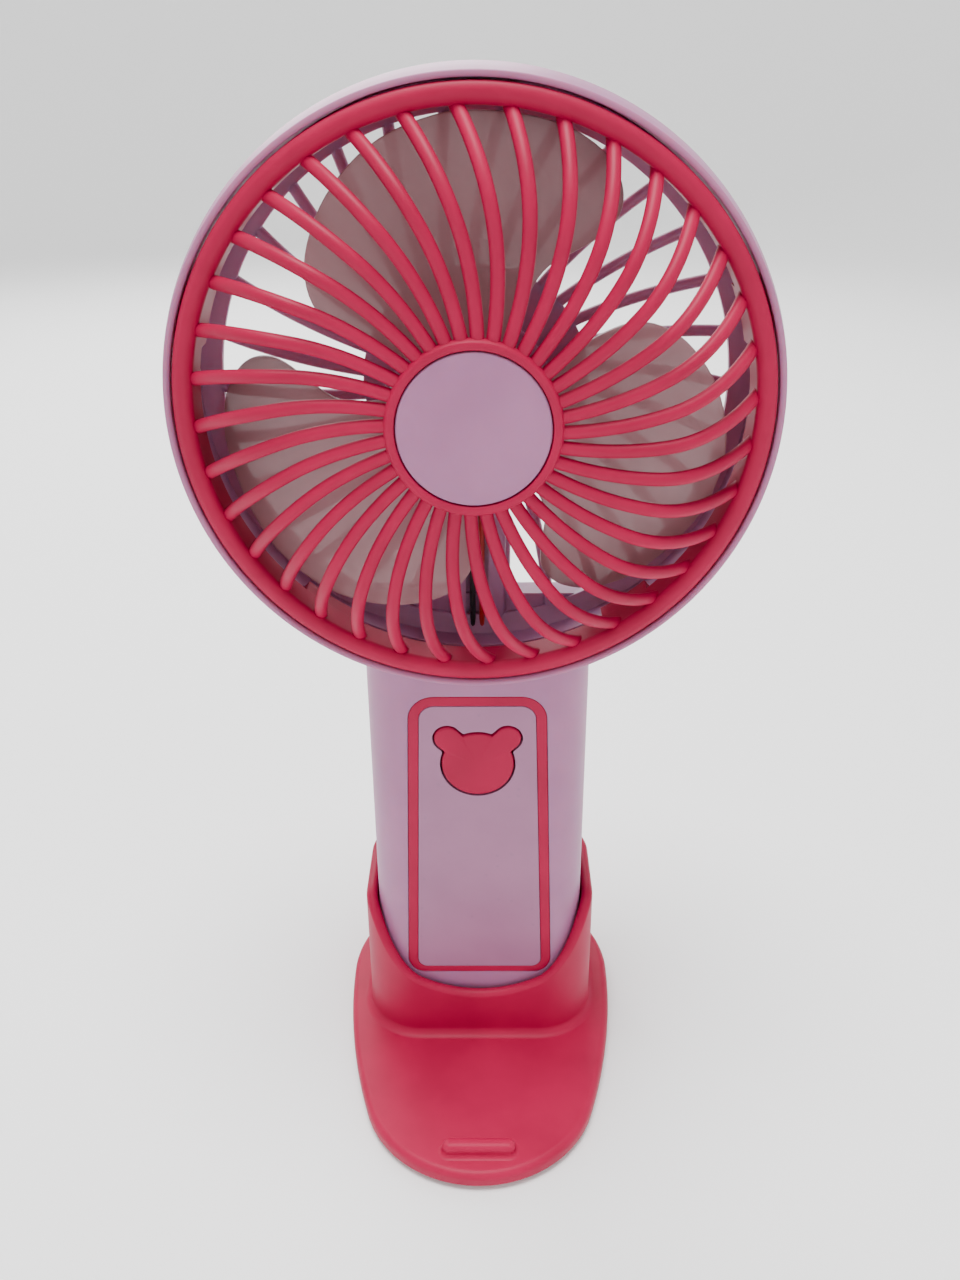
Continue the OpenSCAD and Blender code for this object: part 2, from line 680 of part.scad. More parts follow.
function lead_route(x) = let (top = head_z - motor_r - 1, y_cup = head_y + motor_back, y_run = split_y + 3.6)
    [[x, y_cup, top], [x, y_cup - 3, top], [x, y_run + 1.6, top], [x, y_run + 0.4, top - 0.8],
     [x, y_run, top - 2.4], [x, y_run, top - 20], [x, y_run, cavity_top + 4],
     [x, y_run - 0.5, cavity_top], [x, y_run - 2.2, cavity_top - 4],
     [x, board_back_y + lead_r + 0.3, cavity_top - 7], [x, board_back_y + lead_r, cavity_top - 8.6]];

module motor_lead_red() color("red") lead(lead_route(lead_x));

module motor_lead_black() color("black") lead(lead_route(-lead_x));

stand();
stand_grip_pad();
front_shell();
rear_shell();
front_grille();
grille_cap();
panel_trim();
panel_plate();
power_button();
switch_plunger();
switch_body();
circuit_board();
board_parts();
charge_led();
usb_socket_shell();
usb_socket_tongue();
battery_cell();
battery_tabs();
battery_foam();
shell_screws();
motor_cover();
motor_screws();
motor_can();
motor_magnets();
motor_endcap();
motor_bushings();
motor_brushes();
motor_lead_red();
motor_lead_black();
impeller();
motor_shaft();
armature_core();
armature_windings();
commutator();
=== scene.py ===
import math
import bmesh
import bpy
from mathutils import Matrix, Vector


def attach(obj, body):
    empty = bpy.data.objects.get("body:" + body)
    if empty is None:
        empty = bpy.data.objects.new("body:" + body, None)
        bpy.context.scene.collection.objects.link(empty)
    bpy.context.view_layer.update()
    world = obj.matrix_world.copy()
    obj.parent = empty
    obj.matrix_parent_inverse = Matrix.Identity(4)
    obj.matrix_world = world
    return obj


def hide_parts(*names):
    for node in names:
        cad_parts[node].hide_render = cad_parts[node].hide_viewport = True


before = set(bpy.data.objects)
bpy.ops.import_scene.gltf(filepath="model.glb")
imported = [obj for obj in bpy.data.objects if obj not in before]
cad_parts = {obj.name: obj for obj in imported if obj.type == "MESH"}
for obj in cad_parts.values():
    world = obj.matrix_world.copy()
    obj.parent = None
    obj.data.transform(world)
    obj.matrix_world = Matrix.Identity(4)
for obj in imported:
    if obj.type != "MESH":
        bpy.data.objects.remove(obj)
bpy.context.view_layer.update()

mm = 0.001

# Places that several pieces share, in millimetres. Head pieces are drawn with the fan axis as Z,
# depth counted backwards from the front edge of the head's wall, then put in place with headPlace.
head = {"axisHeight": 142, "frontY": -17, "outerR": 52.5, "innerR": 50.4, "wallDepth": 13}
headPlace = Matrix.Translation((0, head["frontY"] * mm, head["axisHeight"] * mm)) @ Matrix.Rotation(
    -math.pi / 2, 4, "X")
handle = {"width": 43.2, "depth": 32, "corner": 9, "lowZ": 4.2, "wall": 2.1, "splitY": -4,
          "neckTop": 101, "neckRound": 13}

camera = {"place": (2.55, -207.1, 195.9), "lens": 32.78, "down": 0.4689, "yaw": -0.0101,
          "roll": -0.0075}


def addCamera(c):
    data = bpy.data.cameras.new("camera")
    data.lens = c["lens"]
    data.sensor_width = 36
    data.clip_start = 0.01
    ahead = Vector((math.sin(c["yaw"]) * math.cos(c["down"]), math.cos(c["yaw"]) * math.cos(c["down"]),
                    -math.sin(c["down"])))
    level = Vector((math.cos(c["yaw"]), -math.sin(c["yaw"]), 0))
    above = level.cross(ahead)
    right = level * math.cos(c["roll"]) + above * math.sin(c["roll"])
    up = above * math.cos(c["roll"]) - level * math.sin(c["roll"])
    obj = bpy.data.objects.new("camera", data)
    turn = Matrix((right, up, -ahead)).transposed().to_4x4()
    obj.matrix_world = Matrix.Translation(Vector(c["place"]) * mm) @ turn
    bpy.context.scene.collection.objects.link(obj)
    bpy.context.scene.camera = obj


addCamera(camera)
print("camera placed")


def newPiece(name, bm, place=None):
    bmesh.ops.remove_doubles(bm, verts=bm.verts, dist=1e-7)
    bmesh.ops.recalc_face_normals(bm, faces=bm.faces)
    mesh = bpy.data.meshes.new(name)
    bm.to_mesh(mesh)
    bm.free()
    if place is not None:
        mesh.transform(place)
    obj = bpy.data.objects.new(name, mesh)
    bpy.context.scene.collection.objects.link(obj)
    return obj


# A closed skin over rings of points (millimetres). An end is closed by a face, or left when ends=False.
def skin(name, rings, place=None, ends=True, loop=False):
    bm = bmesh.new()
    made = [[bm.verts.new(Vector(p) * mm) for p in ring] for ring in rings]
    count = len(rings[0])
    pairs = list(zip(made, made[1:])) + ([(made[-1], made[0])] if loop else [])
    for a, b in pairs:
        for i in range(count):
            j = (i + 1) % count
            bm.faces.new((a[i], a[j], b[j], b[i]))
    if ends and not loop:
        bm.faces.new(made[0])
        bm.faces.new(made[-1])
    return newPiece(name, bm, place)


# Rounds the corners of a closed outline of (x, y, radius), with steps points on each
def soften(corners, steps=5):
    out = []
    for i, (x, y, r) in enumerate(corners):
        here = Vector((x, y))
        before, after = Vector(corners[i - 1][:2]), Vector(corners[(i + 1) % len(corners)][:2])
        if r <= 0:
            out.append((x, y))
            continue
        u, v = (before - here), (after - here)
        reach = min(r, 0.45 * u.length, 0.45 * v.length)
        u, v = u.normalized() * reach, v.normalized() * reach
        for k in range(steps + 1):
            t = k / steps
            p = here + u * (1 - t) ** 2 + v * t ** 2
            out.append((p.x, p.y))
    return out


# A closed outline of (radius, depth) turned about the fan axis, whole or from angle start by span degrees
def turned(name, outline, place=headPlace, sides=160, start=0, span=360):
    whole = span == 360
    count = sides if whole else max(3, int(sides * span / 360))
    rings = []
    for k in range(count if whole else count + 1):
        a = math.radians(start + span * k / count)
        rings.append([(r * math.cos(a), r * math.sin(a), s) for r, s in outline])
    return skin(name, rings, place, ends=not whole, loop=whole)


# A solid of revolution that reaches the axis: an open outline from the axis back to the axis
def turnedSolid(name, outline, place=headPlace, sides=128):
    bm = bmesh.new()
    rings = []
    for r, s in outline:
        if r < 1e-6:
            rings.append([bm.verts.new(Vector((0, 0, s)) * mm)])
        else:
            rings.append([bm.verts.new(Vector((r * math.cos(2 * math.pi * k / sides),
                                               r * math.sin(2 * math.pi * k / sides), s)) * mm)
                          for k in range(sides)])
    for a, b in zip(rings, rings[1:]):
        for k in range(sides):
            j = (k + 1) % sides
            if len(a) == 1:
                bm.faces.new((a[0], b[j], b[k]))
            elif len(b) == 1:
                bm.faces.new((a[k], a[j], b[0]))
            else:
                bm.faces.new((a[k], a[j], b[j], b[k]))
    return newPiece(name, bm, place)


def join(name, parts):
    bm = bmesh.new()
    for part in parts:
        bm.from_mesh(part.data)
        bpy.data.objects.remove(part)
    mesh = bpy.data.meshes.new(name)
    bm.to_mesh(mesh)
    bm.free()
    obj = bpy.data.objects.new(name, mesh)
    bpy.context.scene.collection.objects.link(obj)
    return obj


def applied(obj):
    graph = bpy.context.evaluated_depsgraph_get()
    mesh = bpy.data.meshes.new_from_object(obj.evaluated_get(graph))
    obj.modifiers.clear()
    obj.data = mesh
    return obj


# Takes other out of obj, or keeps only what both hold
def cut(obj, other, how="DIFFERENCE"):
    step = obj.modifiers.new("cut", "BOOLEAN")
    step.operation, step.object, step.solver = how, other, "EXACT"
    applied(obj)
    bpy.data.objects.remove(other)
    return obj


def arcPoints(cx, cy, r, a0, a1, steps):
    return [(cx + r * math.cos(math.radians(a0 + (a1 - a0) * k / steps)),
             cy + r * math.sin(math.radians(a0 + (a1 - a0) * k / steps))) for k in range(steps + 1)]


# A centred rectangle with round corners as a closed outline; its sides can get extra points
def roundedOutline(w, d, r, steps=20, straight=1):
    out = []
    for c, (sx, sy) in enumerate(((1, 1), (-1, 1), (-1, -1), (1, -1))):
        out += arcPoints(sx * (w / 2 - r), sy * (d / 2 - r), r, 90 * c, 90 * c + 90, steps)
    if straight > 1:
        full = []
        for i, p in enumerate(out):
            q = out[(i + 1) % len(out)]
            full.append(p)
            if math.dist(p, q) > 3 * 2 * math.pi * r / (4 * steps):
                full += [(p[0] + (q[0] - p[0]) * k / straight, p[1] + (q[1] - p[1]) * k / straight)
                         for k in range(1, straight)]
        out = full
    return out


# How far the handle's front curves back at x
def cornerBack(x):
    flat = handle["width"] / 2 - handle["corner"]
    over = min(abs(x) - flat, handle["corner"])
    return 0 if over <= 0 else handle["corner"] - math.sqrt(handle["corner"] ** 2 - over * over)


# A slab of an outline in X-Z from y0 (front) to y1, its front edge rounded; outline(inset) gives points
def frontSlab(name, outline, y0, y1, soft=0.25, steps=4):
    rings = [[(x, y1, z) for x, z in outline(0)]]
    for k in range(steps + 1):
        a = math.pi / 2 * k / steps
        inset, y = soft * (1 - math.cos(a)), y0 + soft * (1 - math.sin(a))
        rings.append([(x, y, z) for x, z in outline(inset)])
    return skin(name, rings)


def trimmedByAngle(mesh, angle=32):
    bm = bmesh.new()
    bm.from_mesh(mesh)
    limit = math.radians(angle)
    for e in bm.edges:
        e.smooth = not (len(e.link_faces) == 2 and e.calc_face_angle(0) > limit)
    for f in bm.faces:
        f.smooth = True
    bm.to_mesh(mesh)
    bm.free()


# Gives a piece its shading, finish, body and CAD nodes
def finishPiece(obj, body, nodes, material, angle=32):
    trimmedByAngle(obj.data, angle)
    even = obj.modifiers.new("evenShading", "WEIGHTED_NORMAL")
    even.keep_sharp = True
    even.weight = 60
    if material is not None:
        obj.data.materials.clear()
        obj.data.materials.append(material)
    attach(obj, body)
    if nodes:
        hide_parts(*nodes)
    return obj


def tone(r, g, b):
    shares = (c / 255 for c in (r, g, b))
    return tuple(c / 12.92 if c <= 0.04 else ((c + 0.055) / 1.055) ** 2.4 for c in shares) + (1,)


# A finish with clouded colour, uneven gloss and a fine grain, all read from the piece's own place
def finish(name, look):
    material = bpy.data.materials.new(name)
    material.use_nodes = True
    nodes, links = material.node_tree.nodes, material.node_tree.links
    shader = nodes["Principled BSDF"]
    place = nodes.new("ShaderNodeTexCoord")
    turn = nodes.new("ShaderNodeMapping")
    turn.inputs["Scale"].default_value = look.get("stretch", (1, 1, 1))
    links.new(place.outputs["Object"], turn.inputs["Vector"])
    cloud = nodes.new("ShaderNodeTexNoise")
    cloud.inputs["Scale"].default_value = look.get("cloudScale", 70)
    cloud.inputs["Detail"].default_value = 4
    links.new(turn.outputs["Vector"], cloud.inputs["Vector"])
    blend = nodes.new("ShaderNodeMix")
    blend.data_type = "RGBA"
    deep, light = look["deep"], look["light"]
    blend.inputs["A"].default_value, blend.inputs["B"].default_value = deep, light
    spread = nodes.new("ShaderNodeMapRange")
    spread.inputs["From Min"].default_value, spread.inputs["From Max"].default_value = 0.35, 0.65
    links.new(cloud.outputs["Fac"], spread.inputs["Value"])
    links.new(spread.outputs["Result"], blend.inputs["Factor"])
    colour = blend.outputs["Result"]
    if "specks" in look:
        dots = nodes.new("ShaderNodeTexVoronoi")
        dots.inputs["Scale"].default_value = look["speckScale"]
        links.new(place.outputs["Object"], dots.inputs["Vector"])
        near = nodes.new("ShaderNodeMapRange")
        near.inputs["From Min"].default_value = look["speckSize"]
        near.inputs["From Max"].default_value = look["speckSize"] * 0.4
        near.inputs["To Max"].default_value = look.get("speckShow", 0.5)
        links.new(dots.outputs["Distance"], near.inputs["Value"])
        over = nodes.new("ShaderNodeMix")
        over.data_type = "RGBA"
        over.inputs["B"].default_value = look["specks"]
        links.new(near.outputs["Result"], over.inputs["Factor"])
        links.new(colour, over.inputs["A"])
        colour = over.outputs["Result"]
    links.new(colour, shader.inputs["Base Color"])
    gloss = nodes.new("ShaderNodeMapRange")
    gloss.inputs["To Min"].default_value = look["roughness"] - look.get("roughSpread", 0.05)
    gloss.inputs["To Max"].default_value = look["roughness"] + look.get("roughSpread", 0.05)
    links.new(cloud.outputs["Fac"], gloss.inputs["Value"])
    links.new(gloss.outputs["Result"], shader.inputs["Roughness"])
    grain = nodes.new("ShaderNodeTexNoise")
    grain.inputs["Scale"].default_value = look.get("grainScale", 2200)
    grain.inputs["Detail"].default_value = 2
    links.new(turn.outputs["Vector"], grain.inputs["Vector"])
    bump = nodes.new("ShaderNodeBump")
    bump.inputs["Strength"].default_value = look.get("grain", 0.15)
    bump.inputs["Distance"].default_value = look.get("grainDepth", 0.00004)
    links.new(grain.outputs["Fac"], bump.inputs["Height"])
    links.new(bump.outputs["Normal"], shader.inputs["Normal"])
    for key, value in look.get("shader", {}).items():
        shader.inputs[key].default_value = value
    return material


finishes = {
    "crimsonPlastic": {"deep": tone(154, 0, 54), "light": tone(166, 0, 60), "roughness": 0.5,
                       "grain": 0.12, "shader": {"Specular IOR Level": 0.22}},
    "lavenderPlastic": {"deep": tone(158, 100, 138), "light": tone(166, 107, 145), "roughness": 0.42,
                        "grain": 0.12, "shader": {"Specular IOR Level": 0.45, "Subsurface Weight": 0.3,
                                                  "Subsurface Scale": 0.005}},
    "panelPlastic": {"deep": tone(150, 98, 130), "light": tone(157, 104, 136), "roughness": 0.38,
                     "specks": tone(130, 96, 124), "speckScale": 260, "speckSize": 0.12, "speckShow": 0.35,
                     "grain": 0.1, "shader": {"Specular IOR Level": 0.45}},
    "smokyPlastic": {"deep": tone(158, 108, 114), "light": tone(167, 116, 122), "roughness": 0.3,
                     "grain": 0.08, "shader": {"Alpha": 0.84, "Specular IOR Level": 0.5}},
    "padRubber": {"deep": tone(42, 42, 45), "light": tone(54, 54, 58), "roughness": 0.8, "grain": 0.6,
                  "grainScale": 3200, "shader": {"Specular IOR Level": 0.3}},
    "blackPlastic": {"deep": tone(24, 24, 26), "light": tone(33, 33, 35), "roughness": 0.5, "grain": 0.25},
    "platedSteel": {"deep": tone(168, 168, 170), "light": tone(196, 196, 198), "roughness": 0.3,
                    "stretch": (1, 1, 12), "grain": 0.2, "grainScale": 900, "shader": {"Metallic": 1.0}},
    "sinteredBronze": {"deep": tone(168, 120, 62), "light": tone(192, 146, 84), "roughness": 0.42,
                       "grain": 0.3, "shader": {"Metallic": 1.0}},
    "copperWire": {"deep": tone(150, 70, 34), "light": tone(188, 98, 52), "roughness": 0.3, "grain": 0.5,
                   "stretch": (1, 14, 1), "grainScale": 700, "shader": {"Metallic": 1.0}},
    "boardGreen": {"deep": tone(12, 70, 40), "light": tone(20, 88, 52), "roughness": 0.3, "grain": 0.3,
                   "grainScale": 1200, "shader": {"Coat Weight": 0.4}},
    "cellWrap": {"deep": tone(20, 112, 96), "light": tone(26, 126, 108), "roughness": 0.25, "grain": 0.1,
                 "shader": {"Coat Weight": 0.5}},
    "foamGrey": {"deep": tone(50, 50, 53), "light": tone(70, 70, 73), "roughness": 0.95, "grain": 0.9,
                 "grainScale": 1500, "grainDepth": 0.0002},
    "ferrite": {"deep": tone(48, 48, 50), "light": tone(64, 64, 66), "roughness": 0.55, "grain": 0.4,
                "shader": {"Metallic": 0.6}},
    "whiteNylon": {"deep": tone(222, 219, 208), "light": tone(232, 230, 222), "roughness": 0.5,
                   "grain": 0.15},
    "ledLens": {"deep": tone(232, 232, 220), "light": tone(242, 242, 236), "roughness": 0.2, "grain": 0.05},
    "redSleeve": {"deep": tone(160, 22, 20), "light": tone(178, 28, 26), "roughness": 0.45, "grain": 0.2},
    "blackSleeve": {"deep": tone(20, 20, 22), "light": tone(30, 30, 32), "roughness": 0.45, "grain": 0.2},
}
made = {name: finish(name, look) for name, look in finishes.items()}
print("finishes made:", len(made))


def newTree(name, sockets):
    tree = bpy.data.node_groups.new(name, "GeometryNodeTree")
    tree.interface.new_socket("Geometry", in_out="INPUT", socket_type="NodeSocketGeometry")
    for label, kind, value in sockets:
        socket = tree.interface.new_socket(label, in_out="INPUT", socket_type=kind)
        if value is not None:
            socket.default_value = value
    tree.interface.new_socket("Geometry", in_out="OUTPUT", socket_type="NodeSocketGeometry")
    return tree, tree.nodes.new("NodeGroupInput"), tree.nodes.new("NodeGroupOutput")


# Copies of what comes in, evenly round the local Z axis, then put in place as one mesh
def copiesRound(tree, source, given, result):
    nodes, links = tree.nodes, tree.links
    spots = nodes.new("GeometryNodeMeshLine")
    links.new(given.outputs["Count"], spots.inputs["Count"])
    spots.inputs["Offset"].default_value = (0, 0, 0)
    index = nodes.new("GeometryNodeInputIndex")
    shift = nodes.new("ShaderNodeMath")
    shift.operation = "ADD"
    links.new(index.outputs["Index"], shift.inputs[0])
    links.new(given.outputs["Offset"], shift.inputs[1])
    share = nodes.new("ShaderNodeMath")
    share.operation = "DIVIDE"
    links.new(shift.outputs[0], share.inputs[0])
    links.new(given.outputs["Count"], share.inputs[1])
    angle = nodes.new("ShaderNodeMath")
    angle.operation = "MULTIPLY"
    angle.inputs[1].default_value = 2 * math.pi
    links.new(share.outputs[0], angle.inputs[0])
    spin = nodes.new("ShaderNodeCombineXYZ")
    links.new(angle.outputs[0], spin.inputs["Z"])
    put = nodes.new("GeometryNodeInstanceOnPoints")
    links.new(spots.outputs["Mesh"], put.inputs["Points"])
    links.new(source, put.inputs["Instance"])
    links.new(spin.outputs["Vector"], put.inputs["Rotation"])
    real = nodes.new("GeometryNodeRealizeInstances")
    links.new(put.outputs["Instances"], real.inputs["Geometry"])
    place = nodes.new("GeometryNodeTransform")
    place.inputs["Rotation"].default_value = headPlace.to_euler()
    place.inputs["Translation"].default_value = headPlace.translation
    links.new(real.outputs["Geometry"], place.inputs["Geometry"])
    paint = nodes.new("GeometryNodeSetMaterial")
    links.new(place.outputs["Geometry"], paint.inputs["Geometry"])
    links.new(given.outputs["Material"], paint.inputs["Material"])
    links.new(paint.outputs["Geometry"], result.inputs["Geometry"])


# Ribs: the incoming path is swept with a flattened round section that narrows towards its outer end
def ribTree():
    tree, given, result = newTree("ribs", [
        ("Count", "NodeSocketInt", 36), ("Offset", "NodeSocketFloat", 0.0),
        ("Width", "NodeSocketFloat", 0.0022), ("Depth", "NodeSocketFloat", 0.002),
        ("End Share", "NodeSocketFloat", 0.8),
        ("Material", "NodeSocketMaterial", None)])
    nodes, links = tree.nodes, tree.links
    path = nodes.new("GeometryNodeMeshToCurve")
    links.new(given.outputs["Geometry"], path.inputs["Mesh"])
    flat = nodes.new("GeometryNodeSetCurveNormal")
    flat.mode = "Z_UP"
    links.new(path.outputs["Curve"], flat.inputs["Curve"])
    along = nodes.new("GeometryNodeSplineParameter")
    narrow = nodes.new("ShaderNodeMapRange")
    narrow.interpolation_type = "SMOOTHSTEP"
    narrow.inputs["From Min"].default_value = 0.35
    narrow.inputs["To Min"].default_value = 1
    links.new(along.outputs["Factor"], narrow.inputs["Value"])
    links.new(given.outputs["End Share"], narrow.inputs["To Max"])
    radius = nodes.new("GeometryNodeSetCurveRadius")
    links.new(flat.outputs["Curve"], radius.inputs["Curve"])
    links.new(narrow.outputs["Result"], radius.inputs["Radius"])
    section = nodes.new("GeometryNodeCurvePrimitiveCircle")
    section.inputs["Resolution"].default_value = 14
    section.inputs["Radius"].default_value = 0.5
    size = nodes.new("ShaderNodeCombineXYZ")
    links.new(given.outputs["Width"], size.inputs["X"])
    links.new(given.outputs["Depth"], size.inputs["Y"])
    size.inputs["Z"].default_value = 1
    squeeze = nodes.new("GeometryNodeTransform")
    links.new(section.outputs["Curve"], squeeze.inputs["Geometry"])
    links.new(size.outputs["Vector"], squeeze.inputs["Scale"])
    sweep = nodes.new("GeometryNodeCurveToMesh")
    links.new(radius.outputs["Curve"], sweep.inputs["Curve"])
    links.new(squeeze.outputs["Geometry"], sweep.inputs["Profile Curve"])
    sweep.inputs["Fill Caps"].default_value = True
    copiesRound(tree, sweep.outputs["Mesh"], given, result)
    return tree


def repeatTree():
    tree, given, result = newTree("repeatRound", [
        ("Count", "NodeSocketInt", 3), ("Offset", "NodeSocketFloat", 0.0),
        ("Material", "NodeSocketMaterial", None)])
    copiesRound(tree, given.outputs["Geometry"], given, result)
    return tree


# Copies of the piece given as Item, on the incoming points
def scatterTree():
    tree, given, result = newTree("onPoints", [
        ("Item", "NodeSocketObject", None), ("Material", "NodeSocketMaterial", None)])
    nodes, links = tree.nodes, tree.links
    item = nodes.new("GeometryNodeObjectInfo")
    links.new(given.outputs["Item"], item.inputs["Object"])
    put = nodes.new("GeometryNodeInstanceOnPoints")
    links.new(given.outputs["Geometry"], put.inputs["Points"])
    links.new(item.outputs["Geometry"], put.inputs["Instance"])
    real = nodes.new("GeometryNodeRealizeInstances")
    links.new(put.outputs["Instances"], real.inputs["Geometry"])
    paint = nodes.new("GeometryNodeSetMaterial")
    links.new(real.outputs["Geometry"], paint.inputs["Geometry"])
    links.new(given.outputs["Material"], paint.inputs["Material"])
    links.new(paint.outputs["Geometry"], result.inputs["Geometry"])
    return tree


trees = {"ribs": ribTree(), "repeat": repeatTree(), "scatter": scatterTree()}


def grow(obj, tree, values):
    step = obj.modifiers.new("grow", "NODES")
    step.node_group = tree
    for socket in tree.interface.items_tree:
        if socket.item_type == "SOCKET" and socket.in_out == "INPUT" and socket.name in values:
            step[socket.identifier] = values[socket.name]
    return applied(obj)


def pathPiece(name, points, linked=True):
    mesh = bpy.data.meshes.new(name)
    edges = [(i, i + 1) for i in range(len(points) - 1)] if linked else []
    mesh.from_pydata([Vector(p) * mm for p in points], edges, [])
    obj = bpy.data.objects.new(name, mesh)
    bpy.context.scene.collection.objects.link(obj)
    return obj


print("node trees made:", len(trees))


grille = {"ribCount": 36, "ribWidth": 2.3, "ribDepth": 2.1, "endShare": 0.84, "height": 10.4,
          "ringOuter": 50.0, "ringInner": 46.6, "skirtR": 47.7, "skirtDepth": 5.6, "hubR": 14.4,
          "capR": 12.7, "plateauR": 31.5, "swirlRate": 0.3, "swirlGain": 0.0055,
          "tabs": 5, "tabAngle": 12, "tabDepth": 9.6}


def ribFront(r, g):
    return -g["height"] * (1 - (max(0, r - g["plateauR"]) / (g["ringInner"] + 0.4 - g["plateauR"])) ** 2)


def makeGrille(g):
    path = []
    for k in range(33):
        r = g["hubR"] - 0.9 + (g["ringInner"] + 1.2 - g["hubR"] + 0.9) * k / 32
        out = r - g["hubR"]
        a = math.radians(-g["swirlRate"] * out - g["swirlGain"] * out * abs(out))
        path.append((r * math.cos(a), r * math.sin(a), ribFront(r, g) + g["ribDepth"] / 2))
    ribs = grow(pathPiece("grilleRibs", path), trees["ribs"], {
        "Count": g["ribCount"], "Offset": 0.25, "Width": g["ribWidth"] * mm, "Depth": g["ribDepth"] * mm,
        "End Share": g["endShare"], "Material": made["crimsonPlastic"]})
    ro, ri, rs, h = g["ringOuter"], g["ringInner"], g["skirtR"], g["height"]
    ring = turned("grilleRing", soften([
        (ri, -0.7, 0.9), (ri + 1.2, -1.55, 1.2), (ro - 0.9, -1.5, 0.9), (ro, -0.9, 0.5), (ro, 2, 0.15),
        (rs, 2, 0.15), (rs, g["skirtDepth"], 0.2), (ri, g["skirtDepth"], 0.2)]), sides=192)
    hub = turned("grilleHub", soften([
        (0.4, -h + 0.8, 0), (g["capR"], -h + 0.8, 0), (g["capR"], -h - 0.3, 0.25),
        (g["capR"] + 0.45, -h - 0.5, 0.35), (g["hubR"] - 0.4, -h - 0.5, 0.5),
        (g["hubR"] + 0.1, -h + 0.4, 0.5), (g["hubR"], -h + 2, 0.4), (0.4, -h + 2, 0)]), sides=128)
    plug = turnedSolid("grilleHubMiddle", [(0, -h + 0.8), (0.5, -h + 0.8), (0.5, -h + 2), (0, -h + 2)],
                       sides=24)
    tab = turned("grilleTab", soften([
        (ri + 0.1, g["skirtDepth"] - 0.5, 0), (rs - 0.1, g["skirtDepth"] - 0.5, 0), (rs - 0.1, 8.1, 0.2),
        (50.0, 8.1, 0.2), (50.0, g["tabDepth"], 0.4), (ri + 0.1, g["tabDepth"], 0.3)]),
        place=None, start=-90 - g["tabAngle"] / 2, span=g["tabAngle"], sides=240)
    tabs = grow(tab, trees["repeat"], {"Count": g["tabs"], "Offset": 0.0, "Material": made["crimsonPlastic"]})
    whole = join("frontGrille", [ribs, ring, hub, plug, tabs])
    return finishPiece(whole, "grille", ["front_grille"], made["crimsonPlastic"])


makeGrille(grille)

cap = {"radius": 12.5, "front": -11.05, "back": -9.65, "edge": 0.45}


def makeCap(c):
    edge = [(c["radius"] - c["edge"] * (1 - math.sin(a)), c["front"] + 0.25 + c["edge"] * (1 - math.cos(a)))
            for a in (math.pi / 2 * k / 6 for k in range(7))]
    crown = [(c["radius"] * 0.96 * k / 10, c["front"] + 0.22 * (k / 10) ** 4) for k in range(10)]
    outline = crown + edge + [(c["radius"], c["back"]), (0, c["back"])]
    return finishPiece(turnedSolid("grilleCap", outline), "grille", ["grille_cap"],
                       made["lavenderPlastic"])


makeCap(cap)
print("front grille and cap made")


# Edges of a blade as (radius, leading angle, trailing angle), from the hub to the tip
impeller = {"blades": 3, "offset": -8 / 120, "hubR": 9, "hubFront": 3.6, "hubBack": 11.1, "mid": 7.6,
            "pitch": 12, "thickness": 1.3, "camber": 0.02,
            "edges": [(8.2, -42, 42), (13, -39, 47), (18, -36, 51), (24, -37, 52), (30, -44, 50),
                      (35, -47.8, 43), (39, -47, 32.5), (42, -43.5, 22), (44.4, -37, 10), (45.6, -28, -3)]}


def smoothTable(rows, r, column):
    k = 0
    while k < len(rows) - 2 and r > rows[k + 1][0]:
        k += 1
    a, b = rows[k], rows[k + 1]
    before, after = rows[max(0, k - 1)], rows[min(len(rows) - 1, k + 2)]
    t = (r - a[0]) / (b[0] - a[0])
    slopeA = (b[column] - before[column]) / (b[0] - before[0]) * (b[0] - a[0])
    slopeB = (after[column] - a[column]) / (after[0] - a[0]) * (b[0] - a[0])
    return ((2 * t ** 3 - 3 * t ** 2 + 1) * a[column] + (t ** 3 - 2 * t ** 2 + t) * slopeA
            + (3 * t ** 2 - 2 * t ** 3) * b[column] + (t ** 3 - t ** 2) * slopeB)


